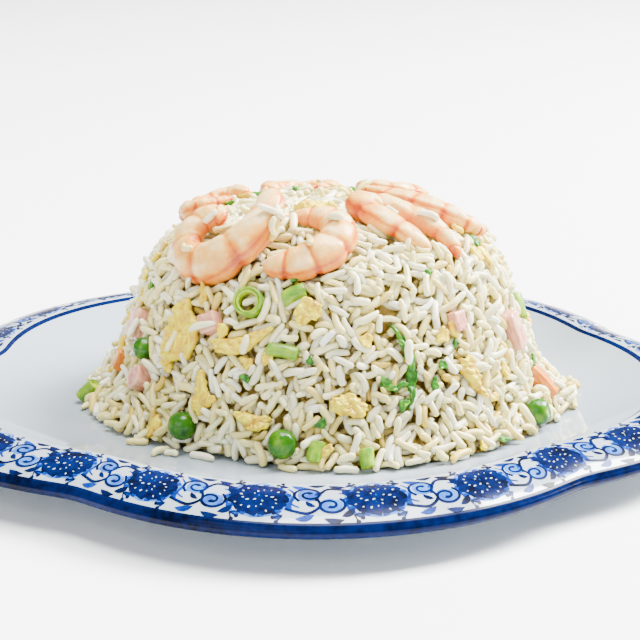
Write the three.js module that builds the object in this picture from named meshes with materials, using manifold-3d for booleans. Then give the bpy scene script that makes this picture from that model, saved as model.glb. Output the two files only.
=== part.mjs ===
// Fried rice turned out of a bowl onto a five-lobed blue-and-white plate, with a ring of curled
// shrimps pressed into its top and peas, egg, scallion, ham and carrot showing in its sides.
// Millimetres, +Z up. The origin is the centre of the plate's bounding rectangle, on the table.
// Azimuth is measured at the heap's axis from -Y towards +X. Polar angles are measured from +Z
// at a point inside the heap, so that azimuth and polar angle together name a place on its skin.
import * as THREE from 'three';
import { mergeVertices } from 'three/addons/utils/BufferGeometryUtils.js';
import Module from 'manifold-3d';

const wasm = await Module();
wasm.setup();

const radians = THREE.MathUtils.degToRad;

// ---- driving dimensions -------------------------------------------------------------------

const LOBES = 5;
const LOBE_SEGMENTS = 16;          // facets round one lobe of the plate
const CUSP_SOFTNESS = 0.1;         // rounds the notch between two lobes
const CUSP_DRIFT = radians(7);     // the back notches sit further round than evenly spaced ones
const FLOOR_RADIUS = 74;           // flat middle of the plate
const FLOOR_TOP = 7.5;
const RIDGE_RADIUS = 102;          // highest line, at a notch; the lobes reach further out
const RIDGE_LOBE = 8.5;            // how much further, at the middle of a lobe
const RIDGE_TOP = 18;
const LIP_RADIUS = 119;            // outer edge, at a notch
const LIP_LOBE = 11.5;
const LIP_TOP = 12.7;              // the rim falls from the ridge to the lip
const LIP_THICKNESS = 2.8;
const WALL_THICKNESS = 4;
const FOOT_OUTER = 78;
const FOOT_INNER = 72;
const FOOT_DRAFT = 1.5;            // slope of the foot ring's inner side
const UNDERSIDE = 3;               // height of the plate's underside inside its foot ring
const WALL_SHARES = [0, 0.36, 0.68, 0.94];         // stations from the floor to the ridge
const RIM_SHARES = [0, 0.33, 0.66, 0.94];          // stations from the ridge to the lip

const HEAP_OFFSET = new THREE.Vector2(5.1, 1.8);   // heap axis from the plate's lobed centre
const HEAP_FOOT_RADIUS = 71;
const HEAP_FOOT = 8;
const HEAP_HEIGHT = 61.5;          // above its foot
const HEAP_TAPER = 0.35;           // how much the flank leans in for each millimetre up
const HEAP_SHOULDER_POWER = 9;     // how late the flank turns over into the top
const HEAP_TOP_POWER = 3;
const HEAP_CENTRE_HEIGHT = 25;     // the polar angles start from this point on the axis
const HEAP_BASE = 5;               // the core is made down to here, then cut by the plate
const HEAP_LOWEST_POLAR = 104;
const APRON_POLAR = 95;            // the apron of slipped grains starts here
const APRON_WIDTH = 4.5;           // at the foot
const APRON_SPILL = 3.5;           // how much wider it is at -X and +X
const APRON_BITE = 7.4;            // how much of it is missing at BITE_AZIMUTH
const BITE_AZIMUTH = -0.6;
const HOLLOW_DEPTH = 0.5;          // a shallow hollow in the flank, here
const HOLLOW_AZIMUTH = -1.57;
const HOLLOW_POLAR = 1.2;
const SKIN_STEP = 4.75;            // spacing of the points of the heap's skin
const SKIN_ROW = 0.87 * SKIN_STEP; // spacing of its rings
const SKIN_JITTER = 0.25;          // share of the spacing by which a point is off its place
const SLIGHT_ANGLE = 0.01;         // step for directions along the skin

const GRAIN_LENGTH = 9;
const GRAIN_WIDTH = 2.3;
const BUMP_COUNT = 1500;           // rice-sized bumps over the skin
const BUMP_HEIGHT = 2;
const BUMP_OVERLAP = 4;            // how far bumps reach in under the edge of a topping
const PROUD_GRAINS = 26;           // whole grains that stand out of the skin
const PROUD_LIFT = 1.3;            // of their middles out of the skin
const FOOT_GRAINS = 20;            // grains that have slid down round the foot
const FOOT_GRAIN_POLAR = 101.5;
const FOOT_GRAIN_LIFT = 1.6;
const SEED = 20;

const GAP = 0.35;                  // clearance between pieces that touch
const TOPPING_MARGIN = 4;          // no loose grain this near to a topping

const COLOURS = {
  porcelain: 0xdfe8f2, rice: 0xe8dfc8, shrimp: 0xf0b090, pea: 0x4f9a14, egg: 0xf0d26a,
  scallion: 0x8fbf1e, leaf: 0x2f7a1c, ham: 0xd9a096, carrot: 0xec9a50,
};

// The curl of each shrimp is part of an ellipse with two radii, whose first radius points to
// lie. The thick head end is at the angle head, and turn is +1 for a curl that runs from head to
// tail anticlockwise seen from outside. The angles are in degrees, body is half the thickness,
// rise is how much the shrimp leans out of the skin for each millimetre towards the top, lift is
// how far the middle of the body is out of the skin, coil is how far inside the head the tail
// curls, and taper is how much thinner the tail is than the head.
const SHRIMPS = [
  {
    name: 'shrimp_front_left', azimuth: -50.5, polar: 47, lie: 43, head: 75, turn: -1, sweep: 254,
    radii: [15.2, 13.4], body: 8, rise: 0.32, lift: 1.5, coil: 0.44, taper: 0.5,
  },
  {
    name: 'shrimp_front', azimuth: -15.8, polar: 44.1, lie: 27.5, head: 240.5, turn: 1, sweep: 241,
    radii: [13.2, 10.4], body: 7.2, rise: 0.14, lift: 1.5, coil: 0.05, taper: 0.5,
  },
  {
    name: 'shrimp_front_right', azimuth: 43.5, polar: 41.5, lie: -77.5, head: -136.5, turn: -1, sweep: 278,
    radii: [18.4, 5.6], body: 5.4, rise: 0.1, lift: 1.6, coil: 0, taper: 0.2,
  },
  {
    name: 'shrimp_back_right', azimuth: 94, polar: 37, lie: -132, head: 76, turn: 1, sweep: 158,
    radii: [22.9, 9.5], body: 5, rise: 0, lift: 3, coil: 0, taper: 0.3,
  },
  {
    name: 'shrimp_far_right', azimuth: 146, polar: 43.5, lie: 0, head: -70, turn: -1, sweep: 290,
    radii: [11, 9.4], body: 5.4, rise: 0, lift: 2.2, coil: 0.3, taper: 0.55,
  },
  {
    name: 'shrimp_back', azimuth: -172, polar: 42, lie: 0, head: 30, turn: -1, sweep: 300,
    radii: [11.1, 9.6], body: 5.6, rise: -0.04, lift: 2, coil: 0.3, taper: 0.55,
  },
  {
    name: 'shrimp_back_left', azimuth: -118, polar: 43, lie: 0, head: 140, turn: 1, sweep: 300,
    radii: [11.1, 9.6], body: 5.4, rise: 0, lift: 2.5, coil: 0.3, taper: 0.55,
  },
];
const SHRIMP_FLATNESS = 0.78;      // thickness out of the skin to width in it
const SHRIMP_BLUNTNESS = 0.4;      // power of the rounding at both ends, less is blunter
const SHRIMP_TAPER_POWER = 1.1;

const PEA_LIFT = 1.6;
// Azimuth, polar angle, radius.
const PEAS = [
  [-40, 98, 4.3], [-13, 99, 4.3], [-63.5, 84, 3.5], [150, 66, 3.9], [58.5, 100, 4.2],
  [111, 71, 4], [128, 91, 4.2], [171, 78, 4.1], [-141, 96, 4.3], [-122, 66, 4],
];

const SLAB_LIFT = 1.3;             // of an egg piece or a leaf strand
const SLAB_CRUMPLE = 0.4;
// Azimuth, polar angle, direction of the long side, length, width, thickness, bend of a strip.
const EGG_PIECES = [
  [-48, 76.5, 82, 19, 14.5, 4.6, 0], [-27, 75.5, 20, 19, 5, 3.6, 2], [-36, 90, 97, 13, 5, 3.6, 1.5],
  [3, 90.5, -14, 11, 6.5, 4, 0.5], [-8, 66, 40, 8.5, 6.5, 4, 0], [-20.5, 94.5, -10, 11, 4.6, 3.6, 1],
  [-20, 12, 10, 12, 7.5, 4, 0], [38.5, 87, -60, 13, 4.4, 3.4, -1], [98, 85, 25, 12, 8, 4, 0],
  [132, 69, 100, 14, 8, 4.2, 0], [-178, 94, 10, 12, 6, 3.8, 1], [-152, 74, 70, 14, 9, 4.2, 0],
  [-106, 86, -30, 13, 7, 4, 1],
];

// A wilted green strand, given as the egg pieces are.
const LEAF_STRANDS = [
  [19.5, 81.5, -86, 23, 3, 3, -3.2], [-134, 84, 60, 16, 3.4, 3, -2],
];

const SCALLION_BORE = 0.62;        // inner radius of a ring to its outer radius
const SCALLION_LIFT = 1.2;
const SCALLION_FLATNESS = 0.9;     // height to width of a slice lying on its side
// Azimuth, polar angle, direction of the tube, outer radius, length, whether it stands on end.
const SCALLIONS = [
  [-26, 64.5, 0, 4.4, 4, true], [-12.5, 61.5, 30, 2.2, 7, false], [-14.5, 77, -5, 2, 9, false],
  [-87, 101, 80, 2.6, 6.5, false], [-5, 100, 75, 2.2, 6, false], [6.5, 101, 90, 2.1, 5.5, false],
  [116, 64, 0, 4.2, 4, true], [79, 77, 60, 2.2, 8, false], [152, 98, 85, 2.8, 6, false],
  [-164, 85, 0, 4, 4, true], [-140, 62, 20, 2.1, 8, false],
];

const CUBE_LIFT = 0.9;
const CUBE_TIP = 0.35;             // spread of the angles by which cubes are tipped
const CUBE_UNEVENNESS = 0.5;       // spread of their corners
// Azimuth, polar angle, direction of the first side, the three sides.
const HAM_CUBES = [
  [-73.5, 79, 10, 8, 9, 6], [-37.5, 71.5, 30, 6, 6, 5.5], [-61.5, 91.5, 35, 7, 6, 6],
  [63, 80, 5, 7, 12, 6], [37.5, 72, 0, 4.5, 6, 5], [112, 94, 25, 8, 7, 6], [176, 64, 40, 8, 7, 6],
  [-120, 78, 15, 7.5, 8, 6],
];
const CARROT_CUBES = [
  [-80, 91.5, -12, 4, 6.5, 4.5], [73.5, 97, 8, 5.5, 12, 5], [146, 82, 30, 6, 7, 5.5],
  [-163, 70, 20, 6, 7, 5.5],
];

// ---- small helpers ------------------------------------------------------------------------

function seededRandom(seed) {
  let state = seed >>> 0;
  return () => {
    state = (state + 0x6d2b79f5) >>> 0;
    let mixed = Math.imul(state ^ (state >>> 15), 1 | state);
    mixed = (mixed + Math.imul(mixed ^ (mixed >>> 7), 61 | mixed)) ^ mixed;
    return ((mixed ^ (mixed >>> 14)) >>> 0) / 2 ** 32;
  };
}

function signedVolume(position, index) {
  const a = new THREE.Vector3();
  const b = new THREE.Vector3();
  const c = new THREE.Vector3();
  let total = 0;
  for (let i = 0; i < index.length; i += 3) {
    a.fromBufferAttribute(position, index[i]);
    b.fromBufferAttribute(position, index[i + 1]);
    c.fromBufferAttribute(position, index[i + 2]);
    total += a.dot(b.cross(c)) / 6;
  }
  return total;
}

// One closed surface: shared corners merged, collapsed triangles dropped, faces pointing out.
function closedSurface(geometry) {
  geometry.deleteAttribute('normal');
  geometry.deleteAttribute('uv');
  const merged = mergeVertices(geometry);
  const corners = merged.index.array;
  const index = [];
  for (let i = 0; i < corners.length; i += 3) {
    const [a, b, c] = [corners[i], corners[i + 1], corners[i + 2]];
    if (a !== b && b !== c && c !== a) index.push(a, b, c);
  }
  if (signedVolume(merged.attributes.position, index) < 0) index.reverse();
  merged.setIndex(index);
  return merged;
}

function toSolid(geometry) {
  const surface = closedSurface(geometry);
  return new wasm.Manifold(new wasm.Mesh({
    numProp: 3,
    vertProperties: new Float32Array(surface.attributes.position.array),
    triVerts: new Uint32Array(surface.index.array),
  }));
}

function toGeometry(solid) {
  const mesh = solid.getMesh();
  const geometry = new THREE.BufferGeometry();
  geometry.setAttribute('position', new THREE.BufferAttribute(mesh.vertProperties.slice(), 3));
  geometry.setIndex(new THREE.BufferAttribute(mesh.triVerts.slice(), 1));
  return geometry;
}

// The largest body of a solid: loose scraps and the walls of sealed hollows are left behind.
function mainBody(solid) {
  return solid.decompose().reduce((best, body) => (body.volume() > best.volume() ? body : best));
}

function moveCorners(geometry, place) {
  const position = geometry.attributes.position;
  const corner = new THREE.Vector3();
  for (let i = 0; i < position.count; i += 1) {
    place(corner.fromBufferAttribute(position, i), i);
    position.setXYZ(i, corner.x, corner.y, corner.z);
  }
  return geometry;
}

function namedMesh(name, geometry, color, roughness) {
  const material = new THREE.MeshStandardMaterial({ color, roughness, metalness: 0 });
  const mesh = new THREE.Mesh(geometry, material);
  mesh.name = name;
  return mesh;
}

// ---- plate --------------------------------------------------------------------------------

// 1 in the middle of a lobe, near 0 at the notch between two lobes; lobe 0 faces -Y.
function lobeShare(azimuth) {
  const even = azimuth - CUSP_DRIFT * Math.sin(azimuth / 2) ** 2;
  return Math.hypot(Math.cos(even * LOBES / 2), CUSP_SOFTNESS) / Math.hypot(1, CUSP_SOFTNESS);
}

// Stations of the upper face from the middle outwards: radius at a notch, height, extra radius
// at a lobe. The well's wall is concave and the rim beyond the ridge is convex.
function wallStation(share) {
  return {
    radius: THREE.MathUtils.lerp(FLOOR_RADIUS, RIDGE_RADIUS, share),
    height: FLOOR_TOP + (RIDGE_TOP - FLOOR_TOP) * share ** 2,
    lobe: RIDGE_LOBE * share ** 1.5,
  };
}

function rimStation(share) {
  return {
    radius: THREE.MathUtils.lerp(RIDGE_RADIUS, LIP_RADIUS, share),
    height: RIDGE_TOP - (RIDGE_TOP - LIP_TOP) * share ** 2,
    lobe: THREE.MathUtils.lerp(RIDGE_LOBE, LIP_LOBE, share),
  };
}

function lowered(station, drop, inset = 0) {
  return { radius: station.radius - inset, height: station.height - drop, lobe: station.lobe };
}

function lobedTurning(stations) {
  const profile = stations.map((station) => new THREE.Vector2(station.radius, station.height));
  const lathe = new THREE.LatheGeometry(profile, LOBES * LOBE_SEGMENTS);
  lathe.rotateX(Math.PI / 2);      // the lathe turns round Y, and the plate stands on Z
  return moveCorners(lathe, (corner, i) => {
    const station = stations[i % stations.length];
    const azimuth = Math.atan2(corner.x, -corner.y);
    const stretch = station.radius > 0 ? 1 + station.lobe * lobeShare(azimuth) / station.radius : 1;
    corner.x *= stretch;
    corner.y *= stretch;
  });
}

function plateGeometry() {
  const half = LIP_THICKNESS / 2;
  const lip = rimStation(1);
  const stations = [
    { radius: 0, height: FLOOR_TOP, lobe: 0 },
    ...WALL_SHARES.map(wallStation),
    ...RIM_SHARES.map(rimStation),
    lowered(lip, half),
    lowered(lip, LIP_THICKNESS, half),
    lowered(rimStation(0.4), WALL_THICKNESS),
    lowered(wallStation(0.94), WALL_THICKNESS),
    lowered(wallStation(0.5), WALL_THICKNESS, -1),
    { radius: FOOT_OUTER, height: 0, lobe: 0 },
    { radius: FOOT_INNER, height: 0, lobe: 0 },
    { radius: FOOT_INNER - FOOT_DRAFT, height: UNDERSIDE, lobe: 0 },
    { radius: 0, height: UNDERSIDE, lobe: 0 },
  ];
  return closedSurface(lobedTurning(stations));
}

// Everything up to GAP above the plate's well, taken away from what lies on it.
function wellClearance() {
  const stations = [
    { radius: 0, height: FLOOR_TOP + GAP, lobe: 0 },
    ...WALL_SHARES.map((share) => lowered(wallStation(share), -GAP)),
    { radius: RIDGE_RADIUS, height: -RIDGE_TOP, lobe: RIDGE_LOBE },
    { radius: 0, height: -RIDGE_TOP, lobe: 0 },
  ];
  return toSolid(lobedTurning(stations));
}

const plateShape = plateGeometry();
plateShape.computeBoundingBox();
const plateCentre = plateShape.boundingBox.getCenter(new THREE.Vector3()).negate().setZ(0);
plateShape.translate(...plateCentre.toArray());
const clearance = wellClearance().translate(plateCentre.toArray());

// ---- the heap's skin ------------------------------------------------------------------------

const heapCentre = new THREE.Vector3(HEAP_OFFSET.x, HEAP_OFFSET.y, HEAP_CENTRE_HEIGHT)
  .add(plateCentre);

function heapRadiusAt(height) {
  const above = height - HEAP_FOOT;
  const share = THREE.MathUtils.clamp(above / HEAP_HEIGHT, 0, 1);
  const shoulder = (1 - share ** HEAP_SHOULDER_POWER) ** (1 / HEAP_TOP_POWER);
  return (HEAP_FOOT_RADIUS - HEAP_TAPER * above) * shoulder;
}

// Distance from the heap's centre to its even skin, found by halving.
function evenReach(polar) {
  let inside = 0;
  let outside = 2 * HEAP_FOOT_RADIUS;
  for (let step = 0; step < 40; step += 1) {
    const middle = (inside + outside) / 2;
    const height = HEAP_CENTRE_HEIGHT + middle * Math.cos(polar);
    const level = height < HEAP_FOOT + HEAP_HEIGHT;
    if (level && middle * Math.sin(polar) < heapRadiusAt(height)) inside = middle;
    else outside = middle;
  }
  return inside;
}

function bell(offset, spread) {
  return Math.exp(-((offset / spread) ** 2));
}

// Hand-packed unevenness: slow swells, a hollow in the flank that faces -X, and an apron of
// slipped grains round the foot, widest at the two sides and bitten off between -X and -Y.
function swell(azimuth, polar) {
  const turn = Math.atan2(Math.sin(azimuth), Math.cos(azimuth));
  const flank = Math.sin(polar) ** 2;
  const waves = 0.6 * Math.sin(2 * turn + 0.6) + 0.5 * Math.sin(3 * turn - 2 * polar)
    + 0.4 * Math.sin(5 * turn + 3 * polar);
  const hollow = bell(turn - HOLLOW_AZIMUTH, 0.7) * bell(polar - HOLLOW_POLAR, 0.35);
  const slipped = THREE.MathUtils.smoothstep(
    polar, radians(APRON_POLAR), radians(HEAP_LOWEST_POLAR));
  const apron = APRON_WIDTH + APRON_SPILL * Math.sin(turn) ** 6
    - APRON_BITE * bell(turn - BITE_AZIMUTH, 0.4);
  return flank * waves - HOLLOW_DEPTH * hollow + apron * slipped;
}

function direction(azimuth, polar) {
  return new THREE.Vector3(
    Math.sin(polar) * Math.sin(azimuth), -Math.sin(polar) * Math.cos(azimuth), Math.cos(polar));
}

function skinPoint(azimuth, polar) {
  const reach = evenReach(polar) + swell(azimuth, polar);
  return direction(azimuth, polar).multiplyScalar(reach).add(heapCentre);
}

// A place on the skin with its axes: east runs round the heap, north towards its top.
function skinPlace(azimuth, polar) {
  const origin = skinPoint(azimuth, polar);
  const below = skinPoint(azimuth, polar + SLIGHT_ANGLE);
  const north = skinPoint(azimuth, polar - SLIGHT_ANGLE).sub(below).normalize();
  const round = new THREE.Vector3(Math.cos(azimuth), Math.sin(azimuth), 0);
  const out = round.cross(north).normalize();
  const east = north.clone().cross(out).normalize();
  return { origin, east, north, out };
}

// A point x east and y north of a place, following the skin, and z out of it.
function draped(place, x, y, z) {
  const flat = place.origin.clone().addScaledVector(place.east, x).addScaledVector(place.north, y);
  const ray = flat.sub(heapCentre).normalize();
  const there = skinPlace(Math.atan2(ray.x, -ray.y), Math.acos(ray.z));
  return there.origin.addScaledVector(there.out, z);
}

// The same without following the skin: a stiff piece.
function stiff(place, x, y, z) {
  return place.origin.clone()
    .addScaledVector(place.east, x).addScaledVector(place.north, y).addScaledVector(place.out, z);
}

function turned(angle, x, y) {
  const [cos, sin] = [Math.cos(angle), Math.sin(angle)];
  return [x * cos - y * sin, x * sin + y * cos];
}

// ---- the heap -----------------------------------------------------------------------------

// Rings of evenly spaced points down the skin, each ring with as many as its girth takes.
function skinRings(random) {
  const rings = [];
  let polar = 0;
  const lowest = radians(HEAP_LOWEST_POLAR);
  while (polar < lowest) {
    const probe = skinPoint(0, polar + SLIGHT_ANGLE);
    polar += SLIGHT_ANGLE * SKIN_ROW / skinPoint(0, polar).distanceTo(probe);
    const girth = 2 * Math.PI * evenReach(polar) * Math.sin(polar);
    const count = Math.max(6, Math.round(girth / SKIN_STEP));
    const offset = random();
    const off = () => SKIN_JITTER * (random() - 0.5);
    rings.push(Array.from({ length: count }, (_, i) => ({
      turn: (i + offset) / count,
      azimuth: 2 * Math.PI * (i + offset + off()) / count,
      polar: polar + off() * SKIN_STEP / HEAP_FOOT_RADIUS,
    })));
  }
  return rings;
}

// Whether a point is outside the room that each topping needs, less an allowance.
function clearOfToppings(point, keepOuts, allowance = 0) {
  return keepOuts.every(({ centre, reach }) => point.distanceTo(centre) > reach - allowance);
}

// Long low bumps of the size of a grain, lying every way in the skin, but none under a topping.
function grainBumps(random, keepOuts) {
  const bumps = [];
  for (let i = 0; i < BUMP_COUNT; i += 1) {
    const azimuth = 2 * Math.PI * random();
    const polar = Math.acos(1 - random() * (1 - Math.cos(radians(HEAP_LOWEST_POLAR))));
    const place = skinPlace(azimuth, polar);
    const lie = Math.PI * random();
    if (!clearOfToppings(place.origin, keepOuts, BUMP_OVERLAP)) continue;
    const along = place.east.multiplyScalar(Math.cos(lie)).addScaledVector(place.north, Math.sin(lie));
    bumps.push({ origin: place.origin, along, height: BUMP_HEIGHT * (0.6 + 0.4 * random()) });
  }
  return bumps;
}

function bumpHeight(bumps, point) {
  const away = new THREE.Vector3();
  let highest = 0;
  for (const bump of bumps) {
    away.subVectors(point, bump.origin);
    const along = away.dot(bump.along) / (GRAIN_LENGTH / 2);
    const across2 = (away.lengthSq() - (away.dot(bump.along)) ** 2) / GRAIN_WIDTH ** 2;
    const inside = 1 - along ** 2 - across2;
    if (inside > 0) highest = Math.max(highest, bump.height * Math.sqrt(inside));
  }
  return highest;
}

// Joins two rings of points that need not have the same number of them.
function stitch(index, upper, upperStart, lower, lowerStart) {
  const turnOf = (ring, k) => (k < ring.length ? ring[k].turn : Infinity);
  let i = 0;
  let j = 0;
  while (i < upper.length || j < lower.length) {
    const a = upperStart + (i % upper.length);
    const b = lowerStart + (j % lower.length);
    if (turnOf(upper, i) <= turnOf(lower, j)) {
      index.push(a, b, upperStart + ((i + 1) % upper.length));
      i += 1;
    } else {
      index.push(a, b, lowerStart + ((j + 1) % lower.length));
      j += 1;
    }
  }
}

function coreGeometry(rings, bumps, grow) {
  const points = [skinPoint(0, 0).add(new THREE.Vector3(0, 0, grow))];
  const starts = [];
  for (const ring of rings) {
    starts.push(points.length);
    for (const { azimuth, polar } of ring) {
      const { origin, out } = skinPlace(azimuth, polar);
      points.push(origin.clone().addScaledVector(out, bumpHeight(bumps, origin) + grow));
    }
  }
  const middle = points.length;
  points.push(new THREE.Vector3(heapCentre.x, heapCentre.y, HEAP_BASE - grow));
  const index = [];
  const first = rings[0];
  first.forEach((_, i) => index.push(0, 1 + i, 1 + ((i + 1) % first.length)));
  for (let k = 1; k < rings.length; k += 1) {
    stitch(index, rings[k - 1], starts[k - 1], rings[k], starts[k]);
  }
  const last = rings[rings.length - 1];
  const foot = starts[rings.length - 1];
  last.forEach((_, i) => index.push(middle, foot + ((i + 1) % last.length), foot + i));
  const geometry = new THREE.BufferGeometry().setFromPoints(points);
  geometry.setIndex(index);
  return geometry;
}

// One grain of few sides, lying in the skin at a place and lifted out of it.
function grainSolid(place, lie, tilt, lift, length) {
  const geometry = new THREE.SphereGeometry(1, 5, 4);
  moveCorners(geometry, (corner) => {
    const along = corner.y * length / 2;
    const [x, y] = turned(lie, along * Math.cos(tilt), corner.x * GRAIN_WIDTH / 2);
    corner.copy(stiff(place, x, y, lift + along * Math.sin(tilt) + corner.z * GRAIN_WIDTH / 2));
  });
  return toSolid(geometry);
}

function looseGrains(random, keepOuts) {
  const grains = [];
  const golden = Math.PI * (3 - Math.sqrt(5));
  const lay = (place, lie, tilt, lift) => {
    const length = GRAIN_LENGTH * (0.8 + 0.3 * random());
    if (clearOfToppings(place.origin, keepOuts)) {
      grains.push(grainSolid(place, lie, tilt, lift, length));
    }
  };
  for (let i = 0; i < PROUD_GRAINS; i += 1) {
    const height = 0.72 - 0.85 * (i + 0.5) / PROUD_GRAINS;
    const tilt = 0.25 + 0.35 * random();
    lay(skinPlace(i * golden, Math.acos(height)), Math.PI * random(), tilt, PROUD_LIFT);
  }
  for (let i = 0; i < FOOT_GRAINS; i += 1) {
    const azimuth = 2 * Math.PI * (i + 0.6 * random()) / FOOT_GRAINS;
    const lift = FOOT_GRAIN_LIFT + 1.2 * random();
    lay(skinPlace(azimuth, radians(FOOT_GRAIN_POLAR)), 0.5 * Math.PI * random(), -0.15, lift);
  }
  return grains;
}

// ---- toppings -----------------------------------------------------------------------------

// A curled shrimp: a tapering body along most of an ellipse, blunt at the head, fine at the tail.
function shrimpGeometry(row) {
  const { lie, head, turn, sweep, radii, body, rise, lift, coil, taper } = row;
  const place = skinPlace(radians(row.azimuth), radians(row.polar));
  const geometry = new THREE.SphereGeometry(1, 8, 12);
  return moveCorners(geometry, (corner) => {
    const along = Math.acos(THREE.MathUtils.clamp(corner.y, -1, 1)) / Math.PI;
    const round = Math.atan2(corner.z, corner.x);
    const angle = radians(head - lie + turn * sweep * along);
    const girth = along > 0 && along < 1 ? Math.sin(Math.PI * along) ** SHRIMP_BLUNTNESS : 0;
    const width = body * (1 - taper * along ** SHRIMP_TAPER_POWER) * girth;
    const inward = 1 - coil * along ** 2;
    const across = width * Math.cos(round);
    const [x, y] = turned(
      radians(lie),
      (radii[0] * inward + across) * Math.cos(angle),
      (radii[1] * inward + across) * Math.sin(angle));
    const out = lift + rise * (y + radii[1]) + SHRIMP_FLATNESS * width * Math.sin(round);
    corner.copy(draped(place, x, y, out));
  });
}

function peaGeometry([azimuth, polar, radius]) {
  const place = skinPlace(radians(azimuth), radians(polar));
  const geometry = new THREE.SphereGeometry(radius, 8, 5);
  return moveCorners(geometry, (corner) => {
    corner.copy(stiff(place, corner.x, corner.y, PEA_LIFT + corner.z));
  });
}

// A scrap of cooked egg or a strand of leaf: a thin rounded slab with a wavy outline, lying along the skin.
function slabGeometry([azimuth, polar, lie, length, width, thickness, bend], i) {
  const place = skinPlace(radians(azimuth), radians(polar));
  const geometry = new THREE.SphereGeometry(1, 9, 5);
  geometry.rotateX(Math.PI / 2);
  return moveCorners(geometry, (corner) => {
    const edge = Math.atan2(corner.y, corner.x);
    const ragged = 1 + 0.12 * Math.sin(3 * edge + i) + 0.07 * Math.sin(5 * edge + 2 * i);
    const along = corner.x * ragged * length / 2;
    const across = corner.y * ragged * width / 2 + bend * (4 * (along / length) ** 2 - 0.3);
    const crumple = SLAB_CRUMPLE * Math.sin(5 * corner.x + i) * Math.cos(4 * corner.y);
    const [x, y] = turned(radians(lie), along, across);
    corner.copy(draped(place, x, y, SLAB_LIFT + crumple + corner.z * thickness / 2));
  });
}

// A slice of green onion: a short ring standing on end, or a piece lying on its side.
function scallionGeometry([azimuth, polar, lie, radius, length, onEnd]) {
  const place = skinPlace(radians(azimuth), radians(polar));
  const half = length / 2;
  const inner = onEnd ? radius * SCALLION_BORE : 0;
  const section = [[inner, -half], [radius, -half], [radius, half], [inner, half]];
  const profile = onEnd ? [...section, section[0]] : section;
  const geometry = new THREE.LatheGeometry(profile.map((p) => new THREE.Vector2(...p)), 8);
  return moveCorners(geometry, (corner) => {
    const [x, y] = turned(radians(lie), onEnd ? corner.x : corner.y, onEnd ? corner.z : corner.x);
    const z = onEnd ? corner.y : corner.z * SCALLION_FLATNESS;
    corner.copy(stiff(place, x, y, z + SCALLION_LIFT));
  });
}

// A diced cube with slightly uneven corners, tipped in the skin.
function cubeGeometry([azimuth, polar, lie, first, second, third], random) {
  const place = skinPlace(radians(azimuth), radians(polar));
  const geometry = closedSurface(new THREE.BoxGeometry(first, second, third));
  const tip = CUBE_TIP * (random() - 0.5);
  return moveCorners(geometry, (corner) => {
    const uneven = () => CUBE_UNEVENNESS * (random() - 0.5);
    const [x, y] = turned(radians(lie), corner.x + uneven(), corner.y + uneven());
    const [tipped, height] = turned(tip, x, corner.z + uneven());
    corner.copy(stiff(place, tipped, y, CUBE_LIFT + height));
  });
}

function toppingRows() {
  const random = seededRandom(SEED + 1);
  const cube = (row) => cubeGeometry(row, random);
  const numbered = (kind, rows, halfLength, roughness, shape) => rows.map((row, i) => ({
    name: `${kind}_${i + 1}`, color: COLOURS[kind], roughness,
    at: row, reach: halfLength(row) + TOPPING_MARGIN, geometry: shape(row, i),
  }));
  return [
    ...SHRIMPS.map((row) => ({
      name: row.name, color: COLOURS.shrimp, roughness: 0.35, at: [row.azimuth, row.polar],
      reach: Math.max(...row.radii) + row.body + TOPPING_MARGIN, geometry: shrimpGeometry(row),
    })),
    ...numbered('pea', PEAS, (row) => row[2], 0.3, peaGeometry),
    ...numbered('egg', EGG_PIECES, (row) => row[3] / 2, 0.5, slabGeometry),
    ...numbered('leaf', LEAF_STRANDS, (row) => row[3] / 2, 0.4, slabGeometry),
    ...numbered('scallion', SCALLIONS, (row) => row[4] / 2, 0.35, scallionGeometry),
    ...numbered('ham', HAM_CUBES, (row) => row[4] / 2, 0.5, cube),
    ...numbered('carrot', CARROT_CUBES, (row) => row[4] / 2, 0.5, cube),
  ];
}

// ---- the whole ----------------------------------------------------------------------------

const random = seededRandom(SEED);
const rings = skinRings(random);
const toppings = toppingRows();
const keepOuts = toppings.map(({ at, reach }) => ({
  centre: skinPoint(radians(at[0]), radians(at[1])), reach,
}));

const bumps = grainBumps(random, keepOuts);
const core = toSolid(coreGeometry(rings, bumps, 0));
const grownCore = toSolid(coreGeometry(rings, bumps, GAP));
const grainy = looseGrains(random, keepOuts).reduce((sum, grain) => sum.add(grain), core);
const heap = mainBody(mainBody(grainy).subtract(clearance));

const dish = new THREE.Group();
dish.add(namedMesh('plate', plateShape, COLOURS.porcelain, 0.15));
dish.add(namedMesh('rice_heap', toGeometry(heap), COLOURS.rice, 0.6));

const food = new THREE.Group();
for (const topping of toppings) {
  const { name, geometry, color, roughness } = topping;
  const solid = mainBody(toSolid(geometry).subtract(grownCore).subtract(clearance));
  food.add(namedMesh(name, toGeometry(solid), color, roughness));
}
dish.add(food);

export default dish;
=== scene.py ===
"""The look of a mound of shrimp fried rice on a lobed blue-and-white plate, built round its CAD frame."""
import math
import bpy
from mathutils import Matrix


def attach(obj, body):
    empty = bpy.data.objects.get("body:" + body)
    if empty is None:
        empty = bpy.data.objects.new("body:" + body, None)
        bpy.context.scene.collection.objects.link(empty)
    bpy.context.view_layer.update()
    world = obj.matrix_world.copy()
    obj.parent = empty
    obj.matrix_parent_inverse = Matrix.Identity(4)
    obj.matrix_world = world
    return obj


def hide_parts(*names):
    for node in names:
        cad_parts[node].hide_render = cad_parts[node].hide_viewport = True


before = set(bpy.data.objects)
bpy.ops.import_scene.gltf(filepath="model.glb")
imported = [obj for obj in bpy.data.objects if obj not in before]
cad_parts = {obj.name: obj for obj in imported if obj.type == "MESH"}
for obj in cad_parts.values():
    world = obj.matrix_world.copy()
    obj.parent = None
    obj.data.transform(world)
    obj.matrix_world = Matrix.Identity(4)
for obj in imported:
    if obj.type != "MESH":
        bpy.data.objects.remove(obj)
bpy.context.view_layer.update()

from types import SimpleNamespace

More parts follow.
